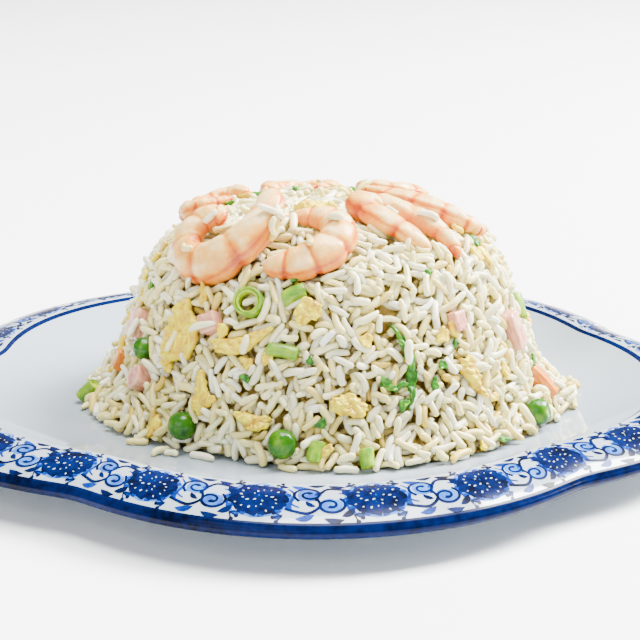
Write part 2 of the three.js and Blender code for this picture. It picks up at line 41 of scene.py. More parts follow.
import bpy
import numpy as np
from mathutils import Vector
from mathutils.bvhtree import BVHTree

# ---- camera ----


def placed(name, data):
    """A new object of the scene that holds the data."""
    thing = bpy.data.objects.new(name, data)
    bpy.context.scene.collection.objects.link(thing)
    return thing


camera_data = bpy.data.cameras.new("camera")
camera_data.lens = 113.34
camera_data.sensor_width = 36
camera = placed("camera", camera_data)
camera.location = (-0.028042, -0.612725, 0.200861)
camera.rotation_euler = Vector((0.04802, 0.963684, -0.262691)).to_track_quat("-Z", "Y").to_euler()
bpy.context.scene.camera = camera

# ---- sizes, in millimetres as in the CAD part ----

MM = 0.001
PLATE_CENTRE = np.array([-0.7886, 2.8145, 0.0])
LOBES = 5
CUSP_SOFTNESS = 0.1
CUSP_DRIFT = math.radians(7)
FLOOR_RADIUS = 74
FLOOR_TOP = 7.5
RIDGE_RADIUS = 102
RIDGE_LOBE = 8.5
RIDGE_TOP = 18
LIP_RADIUS = 119
LIP_LOBE = 11.5
LIP_TOP = 12.7
WALL_THICKNESS = 4
UNDERSIDE = 3

HEAP_CENTRE = PLATE_CENTRE + np.array([5.1, 1.8, 25.0])
HEAP_FOOT_RADIUS = 71
HEAP_FOOT = 8
HEAP_HEIGHT = 61.5
HEAP_TAPER = 0.35
HEAP_SHOULDER_POWER = 9
HEAP_TOP_POWER = 3
HEAP_LOWEST_POLAR = math.radians(104)
APRON_POLAR = math.radians(95)
APRON_WIDTH = 4.5
APRON_SPILL = 3.5
APRON_BITE = 7.4
BITE_AZIMUTH = -0.6
HOLLOW_DEPTH = 0.5
HOLLOW_AZIMUTH = -1.57
HOLLOW_POLAR = 1.2
TOP_SINK = 0.5  # of the rice round the top, under what lies on it
CORE_DEPTH = 4.0  # of the core's surface under the skin, filled up with grains
CORE_GAP = 0.3  # left free over the plate
CORE_FOOT_POLAR = math.radians(88)

# Azimuth, polar, lie, head, turn, sweep, radii, body, rise, lift, coil, taper, as the CAD part has
# them, but the tail of the first curls on inside its ring.
SHRIMPS = {
    "shrimp_front_left": (-50.5, 47, 43, 75, -1, 365, (15.2, 13.4), 8, 0.32, 1.5, 0.9, 0.6),
    "shrimp_front": (-15.8, 44.1, 27.5, 240.5, 1, 241, (13.2, 10.4), 7.2, 0.14, 1.5, 0.05, 0.5),
    "shrimp_front_right": (43.5, 41.5, -77.5, -136.5, -1, 278, (18.4, 5.6), 5.4, 0.1, 1.6, 0, 0.2),
    "shrimp_back_right": (94, 37, -132, 76, 1, 158, (22.9, 9.5), 5, 0, 3, 0, 0.3),
    "shrimp_far_right": (146, 43.5, 0, -70, -1, 290, (11, 9.4), 5.4, 0, 2.2, 0.3, 0.55),
    "shrimp_back": (-172, 42, 0, 30, -1, 300, (11.1, 9.6), 5.6, -0.04, 2, 0.3, 0.55),
    "shrimp_back_left": (-118, 43, 0, 140, 1, 300, (11.1, 9.6), 5.4, 0, 2.5, 0.3, 0.55),
}
PEAS = [
    (-40, 98, 4.3), (-13, 99, 4.3), (-63.5, 84, 3.5), (150, 66, 3.9), (58.5, 100, 4.2),
    (111, 71, 4), (128, 91, 4.2), (171, 78, 4.1), (-141, 96, 4.3), (-122, 66, 4),
]
EGG_PIECES = [
    (-48, 76.5, 82, 19, 14.5, 4.6, 0), (-27, 75.5, 20, 19, 5, 3.6, 2), (-36, 90, 97, 13, 5, 3.6, 1.5),
    (3, 90.5, -14, 11, 6.5, 4, 0.5), (-8, 66, 40, 8.5, 6.5, 4, 0),
    (-20.5, 94.5, -10, 11, 4.6, 3.6, 1), (-20, 12, 10, 12, 7.5, 4, 0), (38.5, 87, -60, 13, 4.4, 3.4, -1),
    (98, 85, 25, 12, 8, 4, 0), (132, 69, 100, 14, 8, 4.2, 0), (-178, 94, 10, 12, 6, 3.8, 1),
    (-152, 74, 70, 14, 9, 4.2, 0), (-106, 86, -30, 13, 7, 4, 1),
]
LEAF_STRANDS = [(19.5, 81.5, -86, 23, 3, 3, -3.2), (-134, 84, 60, 16, 3.4, 3, -2)]
SCALLIONS = [
    (-26, 64.5, 0, 4.4, 4, True), (-12.5, 61.5, 30, 2.2, 7, False), (-14.5, 77, -5, 2, 9, False),
    (-87, 101, 80, 2.6, 6.5, False), (-5, 100, 75, 2.2, 6, False), (6.5, 101, 90, 2.1, 5.5, False),
    (116, 64, 0, 4.2, 4, True), (79, 77, 60, 2.2, 8, False), (152, 98, 85, 2.8, 6, False),
    (-164, 85, 0, 4, 4, True), (-140, 62, 20, 2.1, 8, False),
]
HAM_CUBES = [
    (-73.5, 79, 10, 8, 9, 6), (-37.5, 71.5, 30, 6, 6, 5.5), (-61.5, 91.5, 35, 7, 6, 6),
    (63, 80, 5, 7, 12, 6), (37.5, 72, 0, 4.5, 6, 5), (112, 94, 25, 8, 7, 6), (176, 64, 40, 8, 7, 6),
    (-120, 78, 15, 7.5, 8, 6),
]
CARROT_CUBES = [
    (-80, 91.5, -12, 4, 6.5, 4.5), (73.5, 97, 8, 5.5, 12, 5), (146, 82, 30, 6, 7, 5.5),
    (-163, 70, 20, 6, 7, 5.5),
]

# ---- numbers over arrays ----


def smoothstep(value, low, high):
    share = np.clip((value - low) / (high - low), 0, 1)
    return share * share * (3 - 2 * share)


def bell(offset, spread):
    return np.exp(-((offset / spread) ** 2))


def turned(angle, x, y):
    return x * np.cos(angle) - y * np.sin(angle), x * np.sin(angle) + y * np.cos(angle)


def unit(vectors):
    return vectors / np.linalg.norm(vectors, axis=-1, keepdims=True)


def full_turn(count):
    """Angles once round, in even steps."""
    return np.arange(count) * 2 * np.pi / count


def stacked(*parts):
    """The parts, such as x, y and z, side by side along a new last axis."""
    return np.stack(np.broadcast_arrays(*parts), axis=-1)


def wobble(points, size, seed, octaves=3):
    """Smooth seeded unevenness through space, about -1 to 1, whose largest waves are size long."""
    draw = np.random.default_rng(seed)
    total = np.zeros(np.shape(points)[:-1])
    gain, power = 1.0, 0.0
    for _ in range(octaves):
        for _ in range(4):
            heading = unit(draw.normal(size=3)) * 2 * np.pi / size
            total += gain * np.sin(points @ heading + draw.uniform(0, 2 * np.pi))
        power += 4 * gain * gain
        gain *= 0.6
        size *= 0.5
    return total / math.sqrt(power)


# ---- the heap's skin, as in the CAD part ----


def heap_radius(height):
    above = height - HEAP_FOOT
    share = np.clip(above / HEAP_HEIGHT, 0, 1)
    shoulder = (1 - share ** HEAP_SHOULDER_POWER) ** (1 / HEAP_TOP_POWER)
    return (HEAP_FOOT_RADIUS - HEAP_TAPER * above) * shoulder


def even_reach_table():
    """Distance from the heap's centre to its even skin over the polar angle, by halving."""
    polar = np.linspace(0, math.radians(125), 2500)
    inside = np.zeros_like(polar)
    outside = np.full_like(polar, 2.0 * HEAP_FOOT_RADIUS)
    for _ in range(40):
        middle = (inside + outside) / 2
        height = HEAP_CENTRE[2] + middle * np.cos(polar)
        within = (height < HEAP_FOOT + HEAP_HEIGHT) & (middle * np.sin(polar) < heap_radius(height))
        inside = np.where(within, middle, inside)
        outside = np.where(within, outside, middle)
    return polar, inside


POLAR_TABLE, REACH_TABLE = even_reach_table()


def swell(azimuth, polar):
    turn = np.arctan2(np.sin(azimuth), np.cos(azimuth))
    waves = (0.6 * np.sin(2 * turn + 0.6) + 0.5 * np.sin(3 * turn - 2 * polar)
             + 0.4 * np.sin(5 * turn + 3 * polar))
    hollow = bell(turn - HOLLOW_AZIMUTH, 0.7) * bell(polar - HOLLOW_POLAR, 0.35)
    slipped = smoothstep(polar, APRON_POLAR, HEAP_LOWEST_POLAR)
    apron = (APRON_WIDTH + APRON_SPILL * np.sin(turn) ** 6
             - APRON_BITE * bell(turn - BITE_AZIMUTH, 0.4))
    return np.sin(polar) ** 2 * waves - HOLLOW_DEPTH * hollow + apron * slipped


def skin_point(azimuth, polar):
    reach = np.interp(polar, POLAR_TABLE, REACH_TABLE) + swell(azimuth, polar)
    heading = stacked(np.sin(polar) * np.sin(azimuth), -np.sin(polar) * np.cos(azimuth), np.cos(polar))
    return HEAP_CENTRE + heading * reach[..., None]


def skin_place(azimuth, polar):
    """A place on the skin: its origin and its axes east, north (towards the top) and out."""
    azimuth, polar = np.broadcast_arrays(np.asarray(azimuth, float), np.asarray(polar, float))
    step = 0.01
    origin = skin_point(azimuth, polar)
    north = unit(skin_point(azimuth, polar - step) - skin_point(azimuth, polar + step))
    around = stacked(np.cos(azimuth), np.sin(azimuth), 0)
    out = unit(np.cross(around, north))
    return SimpleNamespace(origin=origin, east=np.cross(north, out), north=north, out=out)


def skin_at(azimuth, polar):
    return skin_place(math.radians(azimuth), math.radians(polar))


def stiff(place, x, y, z):
    x, y, z = (np.asarray(v, float)[..., None] for v in (x, y, z))
    return place.origin + x * place.east + y * place.north + z * place.out


def draped(place, x, y, z):
    """Points x east and y north of a place along the skin, and z out of it."""
    ray = unit(stiff(place, x, y, 0 * np.asarray(x)) - HEAP_CENTRE)
    there = skin_place(np.arctan2(ray[..., 0], -ray[..., 1]), np.arccos(ray[..., 2]))
    return there.origin + np.asarray(z)[..., None] * there.out


# ---- the plate's surface, as in the CAD part ----


def lobe_share(azimuth):
    even = azimuth - CUSP_DRIFT * np.sin(azimuth / 2) ** 2
    return np.hypot(np.cos(even * LOBES / 2), CUSP_SOFTNESS) / math.hypot(1, CUSP_SOFTNESS)


def lobed(azimuth, radius, height, lobe):
    reach = radius + lobe * lobe_share(azimuth)
    around = stacked(np.sin(azimuth), -np.cos(azimuth), 0)
    return PLATE_CENTRE + around * reach[..., None] + stacked(0, 0, height)


def wall_station(share):
    radius = FLOOR_RADIUS + (RIDGE_RADIUS - FLOOR_RADIUS) * share
    return radius, FLOOR_TOP + (RIDGE_TOP - FLOOR_TOP) * share ** 2, RIDGE_LOBE * share ** 1.5


def rim_station(share):
    radius = RIDGE_RADIUS + (LIP_RADIUS - RIDGE_RADIUS) * share
    return (radius, RIDGE_TOP - (RIDGE_TOP - LIP_TOP) * share ** 2,
            RIDGE_LOBE + (LIP_LOBE - RIDGE_LOBE) * share)


def well_height(x, y):
    """Height of the plate's upper face inside its ridge, at one point."""
    x -= PLATE_CENTRE[0]
    y -= PLATE_CENTRE[1]
    away = math.hypot(x, y)
    lobe = RIDGE_LOBE * float(lobe_share(np.float64(math.atan2(x, -y))))
    share = 0.0
    for _ in range(6):
        share = (away - FLOOR_RADIUS - lobe * share ** 1.5) / (RIDGE_RADIUS - FLOOR_RADIUS)
        share = min(max(share, 0.0), 1.0)
    return FLOOR_TOP + (RIDGE_TOP - FLOOR_TOP) * share ** 2


# ---- meshes ----


def outward(points, faces):
    """The faces, turned over where they look inwards."""
    volume = 0.0
    for block in faces:
        for k in range(1, block.shape[1] - 1):
            a, b, c = points[block[:, 0]], points[block[:, k]], points[block[:, k + 1]]
            volume += np.einsum("ij,ij->", a, np.cross(b, c))
    return faces if volume > 0 else [block[:, ::-1] for block in faces]


def mesh_object(name, points, faces, material, slot, replaces=(), **tones):
    """A smooth piece that rides on the part. Points are in mm; tones are values per point."""
    mesh = bpy.data.meshes.new(name)
    points = np.asarray(points, float).reshape(-1, 3)
    faces = outward(points, [np.asarray(block) for block in faces])
    mesh.vertices.add(len(points))
    mesh.vertices.foreach_set("co", (points * MM).ravel())
    corners = np.concatenate([block.ravel() for block in faces])
    sizes = np.concatenate([np.full(len(block), len(block[0])) for block in faces])
    mesh.loops.add(len(corners))
    mesh.loops.foreach_set("vertex_index", corners.astype(np.int32))
    mesh.polygons.add(len(sizes))
    mesh.polygons.foreach_set("loop_start", (np.cumsum(sizes) - sizes).astype(np.int32))
    mesh.polygons.foreach_set("use_smooth", np.ones(len(sizes), bool))
    mesh.update(calc_edges=True)
    mesh.validate()
    for tone, values in tones.items():
        layer = mesh.attributes.new(tone, "FLOAT", "POINT")
        layer.data.foreach_set("value", np.asarray(values, np.float32).ravel())
    for each in material if isinstance(material, list) else [material]:
        mesh.materials.append(each)
    piece = placed(name, mesh)
    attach(piece, "root")
    if replaces:
        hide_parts(*replaces)
    return piece


def grid_faces(rows, columns, start=0, closed_rows=False):
    """Quads over a grid of points whose columns close on themselves."""
    row = np.arange(rows if closed_rows else rows - 1)[:, None]
    column = np.arange(columns)[None, :]
    ahead = (column + 1) % columns
    below = (row + 1) % rows
    quads = stacked(row * columns + column, row * columns + ahead, below * columns + ahead,
                    below * columns + column)
    return quads.reshape(-1, 4) + start


def capsule_faces(rows, columns):
    """Faces of a closed skin: a grid of points with one more point at each end."""
    first, last, base = rows * columns, rows * columns + 1, (rows - 1) * columns
    column = np.arange(columns)
    ahead = (column + 1) % columns
    fans = np.concatenate([stacked(first, ahead, column), stacked(last, base + column, base + ahead)])
    return grid_faces(rows, columns), fans


def joined(copies, faces):
    """One block of points and faces out of many copies that share their faces."""
    copies = np.asarray(copies)
    count = copies.shape[1]
    shift = (np.arange(len(copies)) * count)[:, None, None]
    return copies.reshape(-1, 3), [(block[None] + shift).reshape(-1, block.shape[1]) for block in faces]


# ---- materials ----


def linear(colour):
    share = np.asarray(colour, float) / 255
    value = np.where(share <= 0.04045, share / 12.92, ((share + 0.055) / 1.055) ** 2.4)
    return (*value, 1.0)


def surface(name, stops, shade_colour, roughness, mottle, bump, subsurface=0.0, radius=(1, 0.6, 0.4),
            scatter=1.0, coat=0.0, specular=0.5):
    """A food material. Its colour runs along stops by the tone of each point and a fine mottle, and
    turns to the shade colour, a painted shade, where the depth value of a point is high.
    mottle is (size mm, amount) and bump is (size mm, height mm)."""
    material = bpy.data.materials.new(name)
    material.use_nodes = True
    nodes, links = material.node_tree.nodes, material.node_tree.links

    def feed(target, inputs):
        """Links the inputs for which a socket is given, and sets the others."""
        for key, source in inputs.items():
            if isinstance(source, bpy.types.NodeSocket):
                links.new(source, target.inputs[key])
            else:
                target.inputs[key].default_value = source
        return target.outputs

    def node(kind, inputs, **settings):
        made = nodes.new("ShaderNode" + kind)
        for setting, value in settings.items():
            setattr(made, setting, value)
        return feed(made, inputs)

    def noise(size, detail):
        return node("TexNoise", {"Scale": 1 / (size * MM), "Detail": detail, "Vector": place})["Fac"]

    place = node("TexCoord", {})["Object"]
    tone, depth = (node("Attribute", {}, attribute_name=each)["Fac"] for each in ("tone", "depth"))
    patches = node("Math", {0: noise(mottle[0], 4), 1: mottle[1], 2: tone}, operation="MULTIPLY_ADD")[0]
    centred = node("Math", {0: patches, 1: mottle[1] / 2}, operation="SUBTRACT")[0]
    ramp = nodes.new("ShaderNodeValToRGB")
    while len(ramp.color_ramp.elements) < len(stops):
        ramp.color_ramp.elements.new(0.5)
    for element, (position, colour) in zip(ramp.color_ramp.elements, stops):
        element.position = position
        element.color = linear(colour)
    ramped = feed(ramp, {"Fac": centred})["Color"]
    # Painted shade: the shade colour is mixed in where the depth attribute of a point is high.
    # 0, 6 and 7 are the inputs of a mix of colours, and 2 its output.
    mixed = node("Mix", {0: depth, 6: ramped, 7: linear(shade_colour)}, data_type="RGBA")[2]
    gloss = node("MapRange", {
        "Value": noise(mottle[0] * 0.6, 2), "To Min": roughness[0], "To Max": roughness[1]})
    relief = node("Bump", {"Height": noise(bump[0], 3), "Distance": bump[1] * MM, "Strength": 0.6})
    feed(nodes["Principled BSDF"], {
        "Base Color": mixed, "Roughness": gloss["Result"], "Normal": relief["Normal"],
        "Subsurface Weight": subsurface, "Subsurface Radius": radius, "Subsurface Scale": scatter * MM,
        "Coat Weight": coat, "Coat Roughness": 0.15, "Specular IOR Level": specular})
    return material


# Kinds of grain: the share of each, then its dark, middle, light and shade colours. The shade colour is
# painted shade for the gaps between grains, tinged like soy-stained oil.
RICE_KINDS = {
    "rice_white": (0.27, (214, 200, 128), (228, 220, 164), (240, 237, 206), (146, 116, 8)),
    "rice_cream": (0.16, (206, 188, 104), (222, 210, 138), (236, 229, 184), (142, 112, 6)),
    "rice_ivory": (0.12, (200, 178, 86), (216, 198, 116), (232, 220, 162), (138, 106, 4)),
    "rice_pale": (0.27, (208, 202, 156), (226, 222, 188), (241, 240, 222), (142, 116, 20)),
    "rice_gold": (0.04, (194, 160, 38), (210, 182, 72), (226, 208, 120), (136, 94, 0)),
    "rice_short": (0.14, (210, 196, 116), (224, 214, 148), (237, 232, 194), (142, 112, 8)),
}
RICE_NAMES = list(RICE_KINDS)
RICE_SHARES = np.array([kind[0] for kind in RICE_KINDS.values()])
RICES = {
    name: surface(name, [(0.1, dark), (0.5, middle), (0.9, light)], shade_colour,
                  (0.14, 0.3) if name == "rice_pale" else (0.2, 0.42), (2.0, 0.5), (1.1, 0.10),
                  0.5, (1, 0.88, 0.5), 1.5, 0.1, 0.4)
    for name, (_, dark, middle, light, shade_colour) in RICE_KINDS.items()
}

# The other foods, in the order of what surface takes.
# Painted shade: the core's dark tan colours stand for rice in shadow, seen between the grains.
SHADED_CORE = surface(
    "rice_core", [(0.1, (174, 140, 36)), (0.5, (192, 160, 60)), (0.9, (206, 180, 88))],
    (136, 104, 8), (0.4, 0.6), (4.0, 0.6), (1.6, 0.5), 0.2, (1, 0.8, 0.5), 1.2)
SHRIMP = surface(
    "shrimp_flesh",
    [(0.0, (238, 207, 144)), (0.25, (232, 174, 82)), (0.5, (222, 134, 14)), (0.8, (202, 92, 0)),
     (1.0, (178, 64, 0))],
    (160, 66, 0), (0.2, 0.42), (2.2, 0.36), (0.8, 0.12), 0.16, (1, 0.5, 0.25), 1.2, 0.0, 0.4)
PEA = surface(
    "pea_skin", [(0.1, (12, 58, 0)), (0.5, (38, 94, 0)), (0.95, (104, 146, 0))],
    (10, 40, 0), (0.12, 0.26), (3.0, 0.45), (0.7, 0.05), 0.05, (0.5, 1, 0.15), 1.0, 0.0, 0.3)
EGG = surface(
    "cooked_egg",
    [(0.0, (180, 126, 0)), (0.22, (208, 166, 0)), (0.5, (224, 198, 0)), (0.95, (238, 224, 28))],
    (150, 108, 0), (0.22, 0.45), (2.4, 0.6), (1.0, 0.16), 0.1, (1, 0.9, 0.2), 1.0, 0.0, 0.4)
SCALLION = surface(
    "scallion_stalk", [(0.0, (72, 124, 0)), (0.4, (152, 182, 0)), (1.0, (204, 212, 0))],
    (30, 66, 0), (0.2, 0.4), (1.6, 0.4), (0.6, 0.06), 0.1, (0.7, 1, 0.2), 1.0, 0.0, 0.4)
LEAF = surface(
    "wilted_leaf", [(0.0, (6, 52, 0)), (0.5, (46, 118, 0)), (1.0, (104, 160, 0))],
    (0, 28, 0), (0.2, 0.42), (1.4, 0.5), (0.6, 0.08), 0.1, (0.4, 1, 0.15), 0.8, 0.0, 0.35)
HAM = surface(
    "ham_cube", [(0.0, (184, 104, 80)), (0.5, (212, 148, 118)), (1.0, (232, 190, 160))],
    (138, 66, 42), (0.25, 0.5), (1.8, 0.6), (0.7, 0.14), 0.2, (1, 0.5, 0.35), 1.4, 0.2)
CARROT = surface(
    "carrot_cube", [(0.0, (194, 84, 0)), (0.5, (214, 122, 0)), (1.0, (226, 158, 14))],
    (166, 60, 0), (0.22, 0.45), (2.0, 0.5), (0.8, 0.1), 0.3, (1, 0.48, 0.14), 1.8, 0.25)


# ---- plate ----


def glaze(name, light, dark, patch, amount, roughness=0.06, specular=0.5):
    """Fired glaze: two shades of a colour in soft patches, glossy and slightly wavy."""
    return surface(name, [(0.0, dark), (1.0, light)], dark, (roughness, roughness + 0.05),
                   (patch, amount), (14.0, 0.03), specular=specular)


PORCELAIN = glaze("porcelain_glaze", (154, 164, 171), (138, 151, 163), 40.0, 0.6)
COBALT = glaze("cobalt_print", (0, 18, 68), (0, 3, 24), 2.2, 2.0, 0.16, 0.08)
BRIGHT = glaze("blue_print", (0, 52, 132), (0, 20, 80), 2.0, 2.0, 0.16, 0.08)
WASH = glaze("pale_blue_wash", (64, 112, 178), (22, 64, 144), 3.0, 1.8, 0.14, 0.2)
BISCUIT = surface("unglazed_foot", [(0.0, (214, 208, 198)), (1.0, (232, 228, 220))], (180, 172, 160),
                  (0.6, 0.8), (1.5, 0.6), (0.5, 0.05))
LIP_BAND_SHARE = 0.9
LIP_ROUND = 1.75
LIP_DROP = 1.5  # of the middle of the lip's rounding under its top


def smooth_curve(knots, steps):
    """Points through the knots by Catmull-Rom, steps of them from each knot to the next."""
    knots = np.asarray(knots, float)
    padded = np.concatenate([knots[:1], knots, knots[-1:]])
    t = (np.arange(steps) / steps)[:, None]
    parts = []
    for a, b, c, d in zip(padded, padded[1:], padded[2:], padded[3:]):
        parts.append(0.5 * (2 * b + (c - a) * t + (2 * a - 5 * b + 4 * c - d) * t * t
                            + (3 * b - 3 * c + d - a) * t ** 3))
    return np.concatenate([*parts, knots[-1:]])


def plate_sections():
    """Stations (radius, height, lobe) from the middle of the well, over the ridge and the lip, and
    back under the foot ring to the middle, with the finish of the band that starts at each."""
    glazed, blue, bare = 0, 1, 2
    rows = [((radius, FLOOR_TOP, 0), glazed) for radius in (10, 25, 40, 55, 66)]
    rows += [(wall_station(share), glazed) for share in np.linspace(0, 0.95, 24)]
    rows[-1] = (rows[-1][0], blue)
    rows += [(wall_station(0.975), blue), (wall_station(0.99), glazed)]
    radius, height, lobe = rim_station(0.0)
    rows += [((radius - 0.15, height - 0.1, lobe), glazed), ((radius + 0.3, height - 0.06, lobe), glazed)]
    rows += [(rim_station(share), glazed) for share in np.linspace(0.06, LIP_BAND_SHARE, 16)]
    rows[-1] = (rows[-1][0], blue)
    rows += [(rim_station(share), blue) for share in (0.92, 0.95)]
    for angle in np.radians(np.arange(55, -116, -15)):
        radius = LIP_RADIUS - LIP_ROUND + LIP_ROUND * math.cos(angle)
        height = LIP_TOP - LIP_DROP + LIP_ROUND * math.sin(angle)
        rows.append(((radius, height, LIP_LOBE), blue if angle > -0.9 else glazed))
    beneath = [rows[-1][0]]
    for (radius, height, lobe), outset in (
            (rim_station(0.4), 0), (wall_station(0.94), 0), (wall_station(0.5), 1)):
        beneath.append((radius + outset, height - WALL_THICKNESS, lobe))
    beneath += [(79.2, 1.6, 0), (78.2, 0.5, 0)]
    rows += [(tuple(station), glazed) for station in smooth_curve(beneath, 5)[1:]]
    rows[-1] = (rows[-1][0], bare)
    foot = [(77.4, 0.05), (76, 0), (74, 0), (72.6, 0.05), (71.8, 0.6)]
    rows += [((radius, height, 0), bare) for radius, height in foot]
    rows[-1] = (rows[-1][0], glazed)
    underside = [(70.9, 2.4), (69.6, UNDERSIDE), (50, UNDERSIDE), (25, UNDERSIDE)]
    rows += [((radius, height, 0), glazed) for radius, height in underside]
    return [station for station, _ in rows], [finish for _, finish in rows]


def add_plate():
    around = LOBES * 80
    azimuth = full_turn(around)
    stations, finishes = plate_sections()
    rings = [lobed(azimuth, *station) for station in stations]
    middle = PLATE_CENTRE + np.array([[0, 0, FLOOR_TOP], [0, 0, UNDERSIDE]])
    points = np.concatenate([*rings, middle])
    faces = capsule_faces(len(stations), around)
    tone = 0.5 + 0.2 * wobble(points, 60, 3)
    plate = mesh_object("plate_glazed", points, faces, [PORCELAIN, COBALT, BISCUIT], "porcelain",
                        ["plate"], tone=tone, depth=0 * tone)
    finish = np.zeros(len(plate.data.polygons), np.int32)
    finish[:(len(stations) - 1) * around] = np.repeat(finishes[:-1], around)
    plate.data.polygons.foreach_set("material_index", finish)


# ---- the blue print on the rim ----

PRINT_REPEATS = 24
PRINT_WIDTH = 33.0  # of one repeat along the rim, mm
PRINT_DEPTH = 17.5  # from the ridge to the lip band, mm
PRINT_START = math.radians(6)  # azimuth of the middle of a flower


def on_rim(x, y, lift):
    """Points of the print: x mm along the rim, y from 0 at the ridge to 1 at the lip band."""
    azimuth = PRINT_START + np.asarray(x) * 2 * np.pi / (PRINT_REPEATS * PRINT_WIDTH)
    share = 0.03 + np.asarray(y) * (LIP_BAND_SHARE - 0.045)
    slight = 1e-3
    here = lobed(azimuth, *rim_station(share))
    along = lobed(azimuth + slight, *rim_station(share)) - here
    down = lobed(azimuth, *rim_station(share + slight)) - here
    return here + lift * unit(np.cross(down, along))


class Print:
    """Flat shapes drawn on the rim in one ink: strokes of varying width, and blobs."""

    def __init__(self, lift):
        self.lift, self.points, self.quads, self.fans, self.count = lift, [], [], [], 0

    def stroke(self, knots, widths, steps=5):
        line = smooth_curve(knots, steps)
        share = np.linspace(0, 1, len(line))
        half = np.interp(share, np.linspace(0, 1, len(widths)), widths) / 2
        heading = unit(np.gradient(line, axis=0) + 1e-9)
        side = stacked(-heading[:, 1], heading[:, 0]) * half[:, None]
        self.add(np.concatenate([line + side, line - side]),
                 [[i, i + 1, len(line) + i + 1, len(line) + i] for i in range(len(line) - 1)])

    def blob(self, x, y, radius, squash, ragged, seed, sides, lean=0.0):
        angle = full_turn(sides)
        rough = np.sin(3 * angle + seed) + np.sin(5 * angle + 2.3 * seed) + np.sin(8 * angle + seed)
        reach = 1 + ragged * rough
        u, v = turned(lean, radius * reach * np.cos(angle), radius * squash * reach * np.sin(angle))
        rim = stacked(x + u, y + v)
        inner = np.array([x, y]) + 0.5 * (rim - [x, y])
        points = np.concatenate([[[x, y]], inner, rim])
        ahead = (np.arange(sides) + 1) % sides
        quads = [[1 + i, 1 + sides + i, 1 + sides + ahead[i], 1 + ahead[i]] for i in range(sides)]
        self.add(points, quads, [[0, 1 + i, 1 + ahead[i]] for i in range(sides)])

    def add(self, flat, quads, fan=()):
        """flat is in mm, with y from the ridge."""
        self.points.append(on_rim(flat[:, 0], flat[:, 1] / PRINT_DEPTH, self.lift))
        self.quads.append(np.array(quads) + self.count)
        self.fans.append(np.array(fan, int).reshape(-1, 3) + self.count)
        self.count += len(flat)

    def finish(self, name, material):
        points = np.concatenate(self.points)
        faces = [np.concatenate(self.quads), np.concatenate(self.fans)]
        tone = 0.5 + 0.3 * wobble(points, 9, 11)
        mesh_object(name, points, faces, material, "porcelain", tone=tone, depth=0 * tone)


FLOWER_PETALS = 11
FLOWER_SPECKS = 46
GOLDEN_ANGLE = 2.39996
SPIRAL_WIDTHS = [0.85, 0.935, 0.85, 0.765, 1.36]


def flower(inks, x, y):
    """A chrysanthemum head: a ragged dark mass, mottled, speckled with pale petals and fringed."""
    draw = np.random.default_rng(5)
    wash, bright, cobalt, white = inks
    wash.blob(x, y, 9.3, 0.86, 0.04, 1, 30)
    for k in range(FLOWER_PETALS):
        angle = 2 * math.pi * k / FLOWER_PETALS
        cobalt.blob(x + 6.0 * math.cos(angle), y + 4.7 * math.sin(angle), 2.7, 0.9, 0.07, k, 14)
        angle += 0.28
        bright.blob(x + 8.6 * math.cos(angle), y + 6.9 * math.sin(angle), 1.0, 0.8, 0.08, k, 9)
    cobalt.blob(x, y, 6.4, 0.84, 0.04, 2, 24)
    for k in range(FLOWER_SPECKS):
        angle, reach = k * GOLDEN_ANGLE, 0.95 * math.sqrt((k + 0.6) / FLOWER_SPECKS)
        u, v = 7.6 * reach * math.cos(angle), 6.0 * reach * math.sin(angle)
        ink, scale = (white, 1) if k % 2 else (bright, 1.7)
        ink.blob(x + u, y + v, draw.uniform(0.28, 0.5) * scale, 0.6, 0.05, k, 8, math.atan2(v, u))


def leaf(ink, x, y, lean, length, width):
    """An almond leaf with its tip at one end."""
    u = np.linspace(0, 1, 7)
    dx, dy = turned(lean, u * length, 0.12 * length * np.sin(np.pi * u))
    ink.stroke(stacked(x + dx, y + dy), [0.15, 0.8 * width, width, 0.75 * width, 0.1], 3)


def spiral(ink, x, y, reach, start, turns):
    share = np.linspace(0, 1, 14)
    angle = start + turns * 2 * np.pi * share
    radius = reach * (1 - 0.84 * share)
    ink.stroke(stacked(x + radius * np.cos(angle), y + 0.85 * radius * np.sin(angle)), SPIRAL_WIDTHS, 3)


def spray(ink, x, y, lean, size):
    """Three berries on short stems."""
    for bend in (-0.7, 0, 0.7):
        dx, dy = turned(lean + bend, size * 1.9, 0)
        ink.stroke([(x, y), (x + dx, y + dy)], [0.4, 0.4], 3)
        ink.blob(x + dx, y + dy, 0.5 * size, 1.0, 0.04, bend, 8)


# The vine between two flowers, in mm from its middle and from the ridge. A stem is a row of knots, a
# leaf is x, y, lean, length and width, and a spray is x, y, lean and size.
DARK_STEMS = [
    [(-8.9, 12.8), (-6.6, 13.6), (-2.6, 14.4), (0.6, 11.6), (-0.2, 8.2)],
    [(9.5, 4.6), (6.6, 3.8), (3.2, 3.4), (1.0, 5.6), (-0.6, 9.4)],
]
BRIGHT_STEMS = [
    [(-8.4, 3.4), (-6.4, 6.4), (-7.4, 10.4), (-5.0, 12.2)],
    [(8.6, 14.4), (7.9, 10.6), (8.6, 7.2), (6.0, 5.6)],
]
VINE_LEAVES = [
    (-7.4, 1.4, 0.25, 5.6, 2.1), (-2.6, 1.0, -0.05, 5.2, 1.7), (3.4, 1.3, 0.2, 5.0, 2.0),
    (-6.0, 16.4, -0.3, 5.2, 2.2), (1.6, 16.3, 0.1, 5.2, 1.9), (6.2, 15.6, -0.7, 4.6, 2.2),
    (-8.6, 8.8, 1.2, 4.6, 2.1), (7.6, 3.4, 1.1, 4.8, 2.2), (-3.2, 9.6, 0.7, 3.4, 1.6),
    (2.0, 5.2, 2.6, 3.2, 1.5),
]
VINE_SPRAYS = [
    (-9.4, 15.6, 2.9, 1.3), (9.4, 15.2, 0.5, 1.3), (-9.4, 2.6, -2.6, 1.3), (9.0, 1.9, -0.5, 1.2)]
INKS = {  # height over the glaze in mm, and material
    "rim_print_wash": (0.03, WASH), "rim_print_bright": (0.05, BRIGHT),
    "rim_print_cobalt": (0.07, COBALT), "rim_print_petals": (0.1, PORCELAIN),
}


